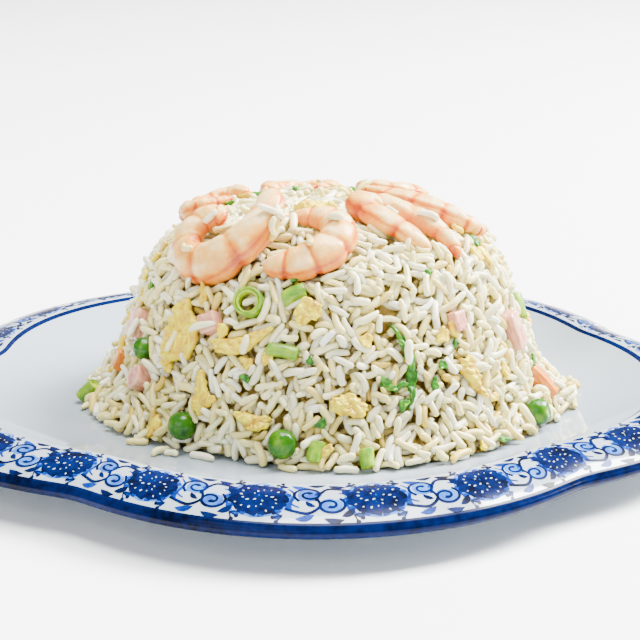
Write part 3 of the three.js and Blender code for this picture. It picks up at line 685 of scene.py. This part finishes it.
def add_print():
    inks = wash, bright, cobalt, _ = [Print(lift) for lift, _ in INKS.values()]
    for k in range(PRINT_REPEATS):
        x0 = k * PRINT_WIDTH
        flower(inks, x0, 8.7)
        vine = x0 + PRINT_WIDTH / 2
        wash.blob(vine - 2.4, 6.6, 3.4, 0.9, 0.05, 1, 16)
        wash.blob(vine + 3.6, 11.2, 3.2, 0.9, 0.05, 2, 16)
        spiral(cobalt, vine - 2.4, 6.4, 4.6, 2.2, 1.55)
        spiral(cobalt, vine + 3.4, 11.2, 4.4, -0.9, 1.5)
        for ink, stems, widths, steps in (
                (cobalt, DARK_STEMS, [0.9, 1.1, 0.8], 5), (bright, BRIGHT_STEMS, [0.5, 0.9, 0.5], 4)):
            for stem in stems:
                ink.stroke(np.array(stem) + [vine, 0], widths, steps)
        for number, (dx, *row) in enumerate(VINE_LEAVES):
            leaf(cobalt if number % 3 else bright, vine + dx, *row)
        for dx, *row in VINE_SPRAYS:
            spray(cobalt, vine + dx, *row)
        for side in (-1, 1):
            leaf(bright, x0 + side * 4.4, 16.2, -1.57 + side * 1.2, 3.0, 1.5)
            leaf(cobalt, x0 + side * 5.4, 1.3, 1.57 - side * 1.2, 3.0, 1.5)
    for ink, (name, (_, material)) in zip(inks, INKS.items()):
        ink.finish(name, material)


# ---- the heap's core ----


def sunk(polar):
    return TOP_SINK * (1 - smoothstep(polar, 0.6, 1.1))


def add_core():
    rows, columns = 130, 320
    polar = np.linspace(math.radians(0.8), HEAP_LOWEST_POLAR, rows)[:, None]
    place = skin_place(full_turn(columns), polar)
    relief = wobble(place.origin, 7, 5, 4)
    points = place.origin + (1.0 * relief - CORE_DEPTH - sunk(polar))[..., None] * place.out
    for point in points[np.searchsorted(polar[:, 0], CORE_FOOT_POLAR, "right"):].reshape(-1, 3):
        point[2] = max(point[2], well_height(point[0], point[1]) + CORE_GAP)
    ends = stacked(*HEAP_CENTRE[:2], [HEAP_FOOT + HEAP_HEIGHT - CORE_DEPTH, FLOOR_TOP + CORE_GAP])
    points = np.concatenate([points.reshape(-1, 3), ends])
    # Painted shade: half shade all over the core, and more in the low places of its relief.
    tone = np.append(0.5 + 0.25 * relief.ravel(), [0.5, 0.5])
    mesh_object("rice_core", points, capsule_faces(rows, columns), SHADED_CORE, "rice", ["rice_heap"],
                tone=tone, depth=np.clip(0.5 - 0.5 * (tone - 0.5), 0, 1))


# ---- toppings ----


def cap_rows(count, crowding=0.12):
    """Shares from end to end of a closed skin, closer together near both ends."""
    even = (np.arange(count) + 0.5) / count
    return even - crowding * np.sin(2 * np.pi * even)


def ball_grid(rows, columns):
    """Directions over a ball, by rows from +Z to -Z, with the two ends last."""
    polar = np.pi * (np.arange(rows) + 0.5)[:, None] / rows
    turn = full_turn(columns)
    ball = stacked(np.sin(polar) * np.cos(turn), np.sin(polar) * np.sin(turn), np.cos(polar))
    return np.concatenate([ball.reshape(-1, 3), [[0, 0, 1], [0, 0, -1]]])


# Where the shell segments of a shrimp begin, as shares of its length, and the last one's end.
SEGMENTS = np.array([0.0, 0.13, 0.27, 0.42, 0.57, 0.71, 0.84, 0.94, 1.01])


def shrimp_piece(name, row, seed):
    azimuth, polar, lie, head, turn, sweep, radii, body, rise, lift, coil, taper = row
    place = skin_at(azimuth, polar)
    rows, columns = 150, 44
    share = cap_rows(rows)[:, None]
    turning = full_turn(columns)
    angle = np.radians(head - lie + turn * sweep * share)
    girth = np.sin(np.pi * share) ** 0.4
    width = body * (1 - taper * share ** 1.1) * girth
    inward = 1 - coil * share ** 2
    index = np.clip(np.searchsorted(SEGMENTS, share, side="right") - 1, 0, len(SEGMENTS) - 2)
    within = (share - SEGMENTS[index]) / (SEGMENTS[index + 1] - SEGMENTS[index])
    seam = np.where(index > 0, bell(within, 0.11), 0) + 0.6 * bell(1 - within, 0.07)
    outer = np.cos(turning)
    back = 0.35 + 0.65 * (0.5 + 0.5 * outer)
    swelling = 0.08 * np.sin(np.pi * np.clip(within, 0, 1)) ** 0.8 - 0.13 * seam * back
    vein = (bell(turning - 0.45, 0.13) * smoothstep(share, 0.04, 0.12)
            * (1 - smoothstep(share, 0.6, 0.8)))
    nubs = bell(turning - np.pi + 0.35, 0.4) * (0.10 * np.cos(2 * np.pi * within) - 0.05)
    full = width * (1 + swelling - 0.10 * vein + nubs)
    across = np.maximum(full * outer, -0.95 * radii[1] * inward)
    x, y = turned(math.radians(lie), (radii[0] * inward + across) * np.cos(angle),
                  (radii[1] * inward + across) * np.sin(angle))
    points = draped(place, x, y, lift + rise * (y + radii[1]) + 0.78 * full * np.sin(turning))
    rough = wobble(points, 6, seed)
    ends = np.stack([points[0].mean(axis=0), points[-1].mean(axis=0)])
    points = points + (0.26 * rough * girth)[..., None] * place.out
    everything = np.concatenate([points.reshape(-1, 3), ends])
    flush = wobble(points, 14, seed + 40)
    fibre = np.sin(2 * np.pi * share * 46 + 3 * rough)
    tone = (0.14 + 0.75 * seam * back + 0.34 * smoothstep(outer, 0.45, 1.0) + 0.3 * vein
            + 0.4 * smoothstep(share, 0.88, 1.0) + 0.15 * flush + 0.42 * smoothstep(-outer, 0.5, 1.0)
            + 0.05 * fibre)
    # Painted shade in the seams between segments, stronger on the lower side.
    depth = 0.23 * seam * (0.3 + 0.7 * (np.sin(turning) < 0.2))
    return mesh_object(
        f"{name}_fine", everything, capsule_faces(rows, columns), SHRIMP, "shrimp", [name],
        tone=np.append(np.clip(tone, 0, 1).ravel(), [0.5, 0.9]),
        depth=np.append(depth.ravel(), [0, 0.2]))


PEA_DIMPLES = 3


def pea_piece(name, row, seed):
    azimuth, polar, radius = row
    place = skin_at(azimuth, polar)
    draw = np.random.default_rng(seed)
    rows, columns = 26, 36
    ball = ball_grid(rows, columns)
    scale = 1 + 0.012 * wobble(ball, 1.4, seed)
    for _ in range(PEA_DIMPLES):
        dimple = unit(draw.normal(size=3) + [0, 0, 0.6])
        scale -= draw.uniform(0.04, 0.09) * bell(np.arccos(np.clip(ball @ dimple, -1, 1)), 0.42)
    spine = unit(np.append(draw.normal(size=2), 0.4))
    scale -= 0.03 * bell(ball @ spine, 0.06) * (ball[:, 2] > 0.2)
    ball = ball * scale[:, None] * radius
    points = stiff(place, ball[:, 0], ball[:, 1], 1.6 + ball[:, 2])
    # Painted light: the top of the pea is lighter; painted shade darkens its underside.
    tone = 0.42 + 0.16 * wobble(ball, 6, seed + 1) + 0.10 * ball[:, 2] / radius
    return mesh_object(f"{name}_fine", points, capsule_faces(rows, columns), PEA, "pea", [name],
                       tone=tone, depth=0.4 * smoothstep(-ball[:, 2], 0, radius))


def slab_points(place, lie, length, width, thickness, bend, ragged, phase, fold, seed, rows, columns):
    """A rounded slab that follows the skin, with a torn edge, folds and a lumpy face."""
    polar = np.pi * cap_rows(rows, 0.0)[:, None]
    edge = full_turn(columns)
    rim = np.sin(polar) ** 0.75
    torn = (1 + ragged * np.sin(3 * edge + phase) + 0.6 * ragged * np.sin(5 * edge + 2 * phase)
            + 0.35 * ragged * np.sin(11 * edge + 3 * phase) + 0.25 * ragged * np.sin(17 * edge - phase))
    along = rim * np.cos(edge) * torn * length / 2
    across = rim * np.sin(edge) * torn * width / 2
    across = across + bend * (4 * (along / length) ** 2 - 0.3)
    face = np.sign(np.cos(polar)) * np.abs(np.cos(polar)) ** 0.7
    flat = stacked(along, across, 0)
    curd = np.abs(wobble(flat, 4.5, seed + 1, 3))
    folds = fold * wobble(flat, 8, seed, 2) + 1.1 * fold * (curd - 0.6)
    lumps = 0.07 * thickness * wobble(flat + [0, 0, 1], 1.8, seed + 2, 2)
    x, y = turned(math.radians(lie), along, across)
    half = thickness / 2 * (0.72 + 0.28 * rim)
    height = 1.3 + 0.8 * folds * (0.4 + 0.6 * rim) + face * half + lumps * face
    points = draped(place, x, y, height).reshape(-1, 3)
    ends = draped(place, *(np.array([v, v]) for v in turned(math.radians(lie), 0.0, -0.3 * bend)),
                  np.array([1.3 + half[0, 0], 1.3 - half[0, 0]]))
    tone = np.append((0.42 + 0.16 * wobble(flat, 6, seed + 3) + 0.34 * (curd - 0.45)).ravel(), [0.5, 0.4])
    # Painted shade on the lower face of the slab.
    depth = np.append((0.45 * smoothstep(-face, -0.3, 0.9) + 0 * folds).ravel(), [0, 0.45])
    return np.concatenate([points, ends]), capsule_faces(rows, columns), tone, depth


def slab_piece(name, row, number, material, slot, fold, thin=1.0):
    azimuth, polar, lie, length, width, thickness, bend = row
    points, faces, tone, depth = slab_points(
        skin_at(azimuth, polar), lie, length, width, thickness * thin, bend, 0.12, number, fold,
        60 + number, 36, 84)
    return mesh_object(f"{name}_fine", points, faces, material, slot, [name], tone=tone, depth=depth)


# Rings of leaf in a slice: outer and inner radius and height, as shares of the slice's own.
OPEN_RINGS = [(1.0, 0.84, 1.0), (0.81, 0.66, 0.86)]
CLOSED_RINGS = [(1.0, 0.8, 1.0), (0.76, 0.52, 0.93), (0.48, 0.0, 0.86)]
# Round the wall of a ring: share of the way from its inner to its outer face, and of half its height.
RING_OUTLINE = [
    (0, -0.9), (0, -0.3), (0, 0.3), (0, 0.9), (0.15, 0.985), (0.5, 1), (0.85, 0.985), (1, 0.92),
    (1, 0.5), (1, 0), (1, -0.5), (1, -0.92), (0.85, -0.985), (0.5, -1), (0.15, -0.985),
]


def scallion_local(radius, length, on_end, seed):
    """A slice of stalk about its own Z: closed rings of leaf one inside the other."""
    around = 48
    turn = full_turn(around)
    blocks, faces, tones, count = [], [], [], 0
    for layer, (outer, inner, reach) in enumerate(OPEN_RINGS if on_end else CLOSED_RINGS):
        tall = length / 2 * reach
        for between, level in RING_OUTLINE:
            share, height = inner + between * (outer - inner), level * tall
            rib = 1 + 0.018 * np.cos(16 * turn + layer) * share + 0.03 * np.cos(2 * turn + seed + layer)
            reach_out = radius * max(share, 0.012) * rib
            tilt = 0.10 * radius * np.sin(turn + seed) * share * (abs(height) > 0.8 * tall)
            blocks.append(stacked(reach_out * np.cos(turn), reach_out * np.sin(turn), height + tilt))
            tones.append(np.full(around, 0.75 - 0.6 * share + 0.12 * layer))
        faces.append(grid_faces(len(RING_OUTLINE), around, count, True))
        count += len(RING_OUTLINE) * around
    return np.concatenate(blocks), faces, np.concatenate(tones)


def scallion_piece(name, row, number):
    azimuth, polar, lie, radius, length, on_end = row
    place = skin_at(azimuth, polar)
    local, faces, tone = scallion_local(radius, length, on_end, number)
    if on_end:
        x, y = turned(math.radians(lie), local[:, 0], local[:, 1])
        points = stiff(place, x, y, 1.2 + local[:, 2])
    else:
        bow = 0.05 * length * (1 - (2 * local[:, 2] / length) ** 2)
        x, y = turned(math.radians(lie), local[:, 2], local[:, 0] + bow)
        points = stiff(place, x, y, 1.2 + 0.9 * local[:, 1])
    tone = tone + 0.10 * wobble(local, 3, number)
    return mesh_object(f"{name}_fine", points, faces, SCALLION, "scallion", [name],
                       tone=np.clip(tone, 0, 1), depth=0 * tone)


CUBE_POWER = 9  # the higher, the sharper the edges of a cube


def cube_piece(name, row, number, material, slot):
    azimuth, polar, lie, first, second, third = row
    place = skin_at(azimuth, polar)
    rows, columns = 44, 60
    ball = ball_grid(rows, columns)
    box = ball / (np.abs(ball) ** CUBE_POWER).sum(axis=1)[:, None] ** (1 / CUBE_POWER)
    lumps = wobble(ball, 1.1, 90 + number)
    torn = wobble(ball * [1, 1, 4], 0.9, 91 + number, 2)
    box = box * (1 + 0.035 * lumps + 0.015 * torn)[:, None]
    box = box * [first / 2, second / 2, third / 2] * 0.97
    x, y = turned(math.radians(lie), box[:, 0], box[:, 1])
    points = stiff(place, x, y, 0.9 + box[:, 2])
    edge = smoothstep(np.sort(np.abs(ball), axis=1)[:, 1], 0.5, 0.72)
    tone = 0.45 + 0.16 * wobble(box, 5, number) + 0.14 * torn + 0.14 * edge
    # Painted shade on the lower half of the cube.
    return mesh_object(f"{name}_fine", points, capsule_faces(rows, columns), material, slot, [name],
                       tone=np.clip(tone, 0, 1), depth=0.3 * smoothstep(-box[:, 2], 0, third / 2))


def add_toppings():
    pieces = [shrimp_piece(name, row, 20 + i) for i, (name, row) in enumerate(SHRIMPS.items())]
    for kind, rows, build, first, *rest in (
            ("pea", PEAS, pea_piece, 30), ("egg", EGG_PIECES, slab_piece, 0, EGG, "egg", 0.75),
            ("leaf", LEAF_STRANDS, slab_piece, 0, LEAF, "leaf", 0.9, 0.6),
            ("scallion", SCALLIONS, scallion_piece, 0), ("ham", HAM_CUBES, cube_piece, 0, HAM, "ham"),
            ("carrot", CARROT_CUBES, cube_piece, 20, CARROT, "carrot")):
        for i, row in enumerate(rows):
            pieces.append(build(f"{kind}_{i + 1}", row, first + i, *rest))
    return pieces


# Azimuth and polar angle of each scrap too small to be a topping of its own.
GREEN_BITS = [
    (-72, 67), (13.5, 86.5), (69, 53), (-118, 41), (29.5, 82.5), (35.5, 77.5), (80, 90), (73, 91.5),
    (-13, 56.5), (26.5, 87), (17, 86.5), (67.5, 53), (33, 57), (-7, 79), (-24, 84.5), (13, 85.5),
    (17, 91), (42, 101.5), (-4, 94.5), (-71, 38.5),
]
EGG_BITS = [
    (-80, 60), (-82, 66), (-79, 72), (-84, 79), (-83, 88), (-87, 96), (-76, 45), (66, 47.5),
    (60.5, 56), (22, 3), (78, 66), (-49, 86), (-49, 100), (-43, 64), (-24, 80.5), (-18.5, 79),
    (20, 78), (35.5, 101.5), (-3, 100), (-79, 52), (45, 93.5), (65, 58), (52.5, 88.5), (38.5, 83.5),
    (31.5, 75), (-33, 73), (-10, 66), (-33, 91), (35.5, 74), (8.5, 74),
]
BITS_BEHIND = 26


def add_bits():
    """Crumbs of egg and chopped green, 2.6 to 6.8 mm long, placed in front and at random behind."""
    draw = np.random.default_rng(7)
    for name, material, slot, places, low, high, thickness in (
            ("egg_crumbs", EGG, "egg", EGG_BITS, (3.2, 2.2), (6.8, 4.0), 2.0),
            ("green_crumbs", LEAF, "leaf", GREEN_BITS, (2.6, 1.6), (5.6, 2.8), 1.3)):
        behind = zip(draw.uniform(95, 255, BITS_BEHIND), draw.uniform(25, 98, BITS_BEHIND))
        blocks, faces, tones, depths, count = [], [], [], [], 0
        for i, (azimuth, polar) in enumerate([*places, *behind]):
            length, width = draw.uniform(low, high)
            points, quads, tone, depth = slab_points(
                skin_at(azimuth, polar), draw.uniform(0, 180), length, width, thickness,
                draw.uniform(-1, 1), 0.14, i, 0.5, 200 + i, 14, 26)
            blocks.append(points)
            faces += [block + count for block in quads]
            tones.append(tone)
            depths.append(depth)
            count += len(points)
        yield mesh_object(name, np.concatenate(blocks), faces, material, slot, tone=np.concatenate(tones),
                          depth=np.concatenate(depths))


# ---- rice ----

GRAIN_LENGTH = 7.9  # mm, as the width
GRAIN_WIDTH = 2.28
GRAIN_ROWS = np.array([-0.965, -0.8, -0.36, 0.1, 0.55, 0.86, 0.975])
GRAIN_SIDES = 8
GRAIN_OVERLAP = 0.72  # mm that a grain may cut into another or into a topping
SPINE = np.array([-0.8, -0.27, 0.27, 0.8])  # places of the balls that stand for a grain, end to end

GRAIN_SHAPES = 18

# Layers: offset from the skin in mm, tries, spread of the tilt in radians and share that stands up.
LAYERS = [
    (-3.1, 6000, 0.10, 0), (-2.1, 9000, 0.10, 0), (-1.2, 11000, 0.26, 0.22), (-0.3, 10000, 0.26, 0.22)]
LAYER_LIFTS = np.array([0, 0.45, 0.9, 1.35])  # mm over the offset, tried in turn
STANDING_TILT = (0.35, 1.1)
# Heaps on the heap: azimuth and polar angle in degrees, radius and height in mm.
CLUMPS = [(-21, 39, 5.5, 6.0), (-18, 33, 4.5, 5.0), (44, 36, 5.0, 2.5), (77, 101, 6.5, 5.5),
          (88, 102, 5.0, 4.0), (-150, 60, 7.0, 3.0), (100, 58, 7.0, 3.0), (170, 46, 5.0, 3.0)]
CLUMP_TRIES = 26  # to a mm of the radius
# Small piles on top of the shrimps: azimuth, polar angle, radius, tries.
PILES = [(-17.5, 43.5, 4.4, 72), (-22.5, 44.5, 3.6, 30), (-53, 50, 2.6, 15)]
PILE_LIFTS = [0.75, 1.4, 2.0]
# Single grains on top of a topping, if one is there: azimuth and polar angle.
STRAYS = [(-56, 39), (-54, 45.5), (-51.5, 55.5), (-8, 49), (-19, 50), (2, 42), (38, 34), (50, 42),
          (-38, 73), (-48, 79), (-24, 76), (3, 90), (57, 80), (-30, 92), (20, 78), (-70, 80),
          (110, 40), (-172, 46), (-122, 46), (130, 70)]
STRAY_LIFTS = [0.75, 1.1]
FILL_LEVELS = np.arange(1.2, 9, 1.1)  # under the shrimps, mm over the skin
FILL_TRIES = 260  # on each level
LOOSE_GRAINS = 48  # on the plate round the heap
LOOSE_LIFTS = [1.0, 1.25, 1.5]


def grain_shapes(count, seed):
    """Grains along X at the origin: blunt at one end, slightly bent, creased and lumpy."""
    draw = np.random.default_rng(seed)
    turn = full_turn(GRAIN_SIDES)
    shapes = []
    for _ in range(count):
        length = GRAIN_LENGTH * draw.uniform(0.76, 1.12)
        width = GRAIN_WIDTH * draw.uniform(0.88, 1.1)
        power, lean = draw.uniform(4.2, 7.0), draw.uniform(0.0, 0.16)
        bow, twist = draw.uniform(-1.2, 1.2), draw.uniform(-0.25, 0.25)
        waist, where = draw.uniform(0, 0.1), draw.uniform(-0.35, 0.35)
        crease, facing = draw.uniform(0.02, 0.12), draw.uniform(0, 2 * np.pi)
        t = GRAIN_ROWS[:, None]
        girth = (1 - np.abs(t) ** power) ** 0.5 * (1 - lean * t) * (1 - waist * bell(t - where, 0.3))
        radial = width / 2 * girth * (1 - crease * np.cos(2 * (turn + twist * t) + facing))
        local = stacked(length / 2 * t, radial * np.cos(turn) + bow * (t * t - 0.35),
                        radial * 0.94 * np.sin(turn) + 0.5 * bow * twist * t)
        local[..., 1:] += 0.045 * width * draw.normal(size=local[..., 1:].shape)
        tips = np.array([[-length / 2, bow * 0.65, 0], [length / 2, bow * 0.65, 0]])
        shapes.append((np.concatenate([local.reshape(-1, 3), tips]), length, width, bow))
    return shapes


class Bed:
    """Which room is taken, for laying grains without cutting into what is there already."""

    CELL = 2.4
    AROUND = [(i, j, k) for i in (-1, 0, 1) for j in (-1, 0, 1) for k in (-1, 0, 1)]

    def __init__(self, obstacles):
        vertices, polygons = [], []
        for piece in obstacles:
            shift = len(vertices)
            vertices += [vertex.co / MM for vertex in piece.data.vertices]
            polygons += [[shift + i for i in polygon.vertices] for polygon in piece.data.polygons]
        self.tree = BVHTree.FromPolygons(vertices, polygons)
        self.cells = {}

    def cell(self, point):
        return tuple(int(math.floor(v / self.CELL)) for v in point)

    def free(self, point, radius):
        x, y, z = point
        if z < 24 and z < well_height(x, y) + 0.9 * radius:
            return False
        home = self.cell(point)
        for step in self.AROUND:
            key = (home[0] + step[0], home[1] + step[1], home[2] + step[2])
            for a, b, c, other in self.cells.get(key, ()):
                room = radius + other - GRAIN_OVERLAP
                if (a - x) ** 2 + (b - y) ** 2 + (c - z) ** 2 < room * room:
                    return False
        near, normal, _, distance = self.tree.find_nearest(point, 6.0)
        if near is None:
            return True
        outside = (Vector(point) - near).dot(normal) > 0
        return outside and distance > radius - GRAIN_OVERLAP

    def take(self, point, radius):
        self.cells.setdefault(self.cell(point), []).append((*point, radius))


def grain_frame(place, lie, tilt, roll):
    """Axes along, across and out of a grain that lies at a place."""
    c, s = math.cos(lie), math.sin(lie)
    flat = c * place.east + s * place.north
    side = -s * place.east + c * place.north
    along = math.cos(tilt) * flat + math.sin(tilt) * place.out
    up = -math.sin(tilt) * flat + math.cos(tilt) * place.out
    c, s = math.cos(roll), math.sin(roll)
    return np.stack([along, c * side + s * up, -s * side + c * up])


def grain_balls(origin, axes, length, bow):
    local = np.stack([0.5 * length * SPINE, bow * (SPINE ** 2 - 0.35), 0 * SPINE], axis=-1)
    return origin + local @ axes


def polar_by_area(draw, count):
    """Polar angles at random, as many to each square millimetre of the skin all over."""
    table = np.linspace(0, HEAP_LOWEST_POLAR, 400)
    points = skin_point(np.zeros_like(table), table)
    girth = np.interp(table, POLAR_TABLE, REACH_TABLE) * np.sin(table)
    bands = np.linalg.norm(np.diff(points, axis=0), axis=1) * (girth[1:] + girth[:-1]) / 2
    area = np.cumsum(np.append(0, bands))
    return np.interp(draw.random(count) * area[-1], area, table)


def disc_spot(draw, middle, radius):
    """A point at random on a disc of the skin, and how far it is from the middle."""
    away, turn = radius * math.sqrt(draw.random()), draw.uniform(0, 2 * np.pi)
    return stiff(middle, away * math.cos(turn), away * math.sin(turn), 0), away


class Rice:
    """The grains laid so far, by kind."""

    def __init__(self, bed, seed):
        self.bed = bed
        self.draw = np.random.default_rng(seed)
        self.shapes = grain_shapes(GRAIN_SHAPES, seed + 1)
        self.copies = {kind: [] for kind in RICES}

    def lay(self, place, lie, tilt, lifts, depth=None):
        """Puts one grain at the first of the lifts that is free, if any is. Where no painted shade is
        given, grains get the more painted shade the deeper they lie."""
        local, length, width, bow = self.shapes[self.draw.integers(len(self.shapes))]
        scale = self.draw.uniform(0.92, 1.06)
        axes = grain_frame(place, lie, tilt, self.draw.uniform(0, 2 * np.pi))
        radius = 0.45 * width * scale
        for lift in lifts:
            origin = place.origin + lift * place.out
            balls = grain_balls(origin, axes, length * scale, bow * scale)
            if all(self.bed.free(ball, radius) for ball in balls):
                break
        else:
            return
        for ball in balls:
            self.bed.take(ball, radius)
        kind = RICE_NAMES[self.draw.choice(len(RICE_NAMES), p=RICE_SHARES / RICE_SHARES.sum())]
        # Painted shade: the deeper a grain lies under the skin, the more shade colour it gets.
        if depth is None:
            depth = np.clip((-lift - 0.7) / 3.0, 0, 0.85)
        size = np.array([scale * (0.72 if kind == "rice_short" else 1), scale, scale])
        self.copies[kind].append((origin + (local * size) @ axes, self.draw.normal(0.5, 0.16), depth))

    def finish(self):
        for kind, copies in self.copies.items():
            shapes, tones, depths = zip(*copies)
            points, faces = joined(shapes, capsule_faces(len(GRAIN_ROWS), GRAIN_SIDES))
            tone = np.repeat(tones, len(shapes[0])) + 0.08 * wobble(points, 2.6, 4)
            mesh_object(kind, points, faces, RICES[kind], "rice", tone=np.clip(tone, 0, 1),
                        depth=np.repeat(depths, len(shapes[0])))


def add_rice(obstacles):
    rice = Rice(Bed(obstacles), 11)
    draw = rice.draw
    for layer in LAYERS:
        lay_layer(rice, *layer)
    fill_under(rice)
    for clump in CLUMPS:
        lay_clump(rice, *clump)
    for azimuth, polar, radius, tries in PILES:
        middle = skin_at(azimuth, polar)
        for _ in range(tries):
            spot, _ = disc_spot(draw, middle, radius)
            stray(rice, SimpleNamespace(origin=spot, north=middle.north, out=middle.out), PILE_LIFTS)
    for azimuth, polar in STRAYS:
        stray(rice, skin_at(azimuth, polar), STRAY_LIFTS)
    for _ in range(LOOSE_GRAINS):
        lay_loose(rice, draw.uniform(0, 2 * np.pi), HEAP_FOOT_RADIUS + abs(draw.normal(2, 2.4)))
    rice.finish()


def lay_layer(rice, offset, tries, spread, standing):
    """Grains all over the heap, side by side at one offset from its skin."""
    draw = rice.draw
    polars = polar_by_area(draw, tries)
    azimuths = draw.uniform(0, 2 * np.pi, tries)
    for azimuth, polar in zip(azimuths, polars):
        tilt = draw.normal(0, spread)
        if standing and draw.random() < standing:
            tilt = draw.uniform(*STANDING_TILT)
        lifts = offset - sunk(polar) + LAYER_LIFTS
        rice.lay(skin_place(azimuth, polar), draw.uniform(0, np.pi), tilt, lifts)


def lay_clump(rice, azimuth, polar, radius, height):
    """A low heap of grains on the rice."""
    draw, middle = rice.draw, skin_at(azimuth, polar)
    for _ in range(int(CLUMP_TRIES * radius)):
        spot, away = disc_spot(draw, middle, radius)
        top = height * (1 - (away / radius) ** 2)
        place = SimpleNamespace(origin=spot, east=middle.east, north=middle.north, out=middle.out)
        lifts = np.arange(0.4, max(top, 0.5), 0.5) - sunk(math.radians(polar))
        rice.lay(place, draw.uniform(0, np.pi), draw.normal(0, 0.4), lifts, depth=0)


def fill_under(rice):
    """Grains in the room between the rice and a shrimp that leans out of it."""
    draw = rice.draw
    for azimuth, polar, _, _, _, _, radii, body, *_ in SHRIMPS.values():
        place = skin_at(azimuth, polar)
        for level in FILL_LEVELS:
            for _ in range(FILL_TRIES):
                ray = unit(disc_spot(draw, place, max(radii) + body)[0] - HEAP_CENTRE)
                there = skin_place(math.atan2(ray[0], -ray[1]), math.acos(ray[2]))
                spot = there.origin + level * there.out
                hit = rice.bed.tree.ray_cast(spot, there.out, 9.0)[0]
                if hit is not None:
                    # Painted shade on the grains under a shrimp.
                    rice.lay(there, draw.uniform(0, np.pi), draw.normal(0, 0.3), [level], depth=0.3)


def stray(rice, place, lifts):
    """A grain on top of whatever topping is at a place."""
    hit, normal, _, _ = rice.bed.tree.ray_cast(place.origin + 20 * place.out, -place.out, 24.0)
    if hit is None:
        return
    out = np.array(normal)
    east = unit(np.cross(place.north, out))
    seat = SimpleNamespace(origin=np.array(hit), east=east, north=np.cross(out, east), out=out)
    rice.lay(seat, rice.draw.uniform(0, np.pi), 0, lifts, depth=0)


def lay_loose(rice, azimuth, away):
    """A grain that lies on the plate beside the heap."""
    x, y = HEAP_CENTRE[0] + away * math.sin(azimuth), HEAP_CENTRE[1] - away * math.cos(azimuth)
    east = np.array([math.cos(azimuth), math.sin(azimuth), 0])
    inward = np.array([-math.sin(azimuth), math.cos(azimuth), 0])
    rise = well_height(x - inward[0], y - inward[1]) - well_height(x, y)
    north = unit(inward - [0, 0, rise])
    seat = SimpleNamespace(origin=np.array([x, y, well_height(x, y)]), east=east, north=north,
                           out=np.cross(east, north))
    rice.lay(seat, rice.draw.uniform(0, np.pi), 0, LOOSE_LIFTS, depth=0)


# ---- light and floor ----


# Lamps: name, place and size in metres, and power in watts.
LAMPS = [
    ("key", (1.2, 0.5, 1.25), 0.9, 285),
    ("top", (0.2, 0.1, 1.6), 1.0, 80),
    ("fill", (-0.9, -1.5, 1.0), 1.4, 22),
]


def add_stage():
    material = bpy.data.materials.new("pale_floor")
    material.use_nodes = True
    shader = material.node_tree.nodes["Principled BSDF"]
    shader.inputs["Base Color"].default_value = linear((246, 246, 247))
    shader.inputs["Roughness"].default_value = 0.45
    mesh = bpy.data.meshes.new("floor")
    mesh.from_pydata([(-4, -4, 0), (4, -4, 0), (4, 6, 0), (-4, 6, 0)], [], [(0, 1, 2, 3)])
    mesh.materials.append(material)
    placed("floor", mesh)
    world = bpy.data.worlds.new("studio")
    world.use_nodes = True
    world.node_tree.nodes["Background"].inputs["Color"].default_value = (0.95, 0.97, 1.0, 1)
    world.node_tree.nodes["Background"].inputs["Strength"].default_value = 0.66
    bpy.context.scene.world = world
    for name, spot, size, power in LAMPS:
        light = bpy.data.lights.new(name, "AREA")
        light.size = size
        light.energy = power
        lamp = placed(name, light)
        lamp.location = spot
        lamp.rotation_euler = (Vector((0, 0, 0.03)) - Vector(spot)).to_track_quat("-Z", "Y").to_euler()


add_stage()
add_plate()
add_print()
add_core()
toppings = add_toppings()
add_rice([*toppings, *add_bits()])
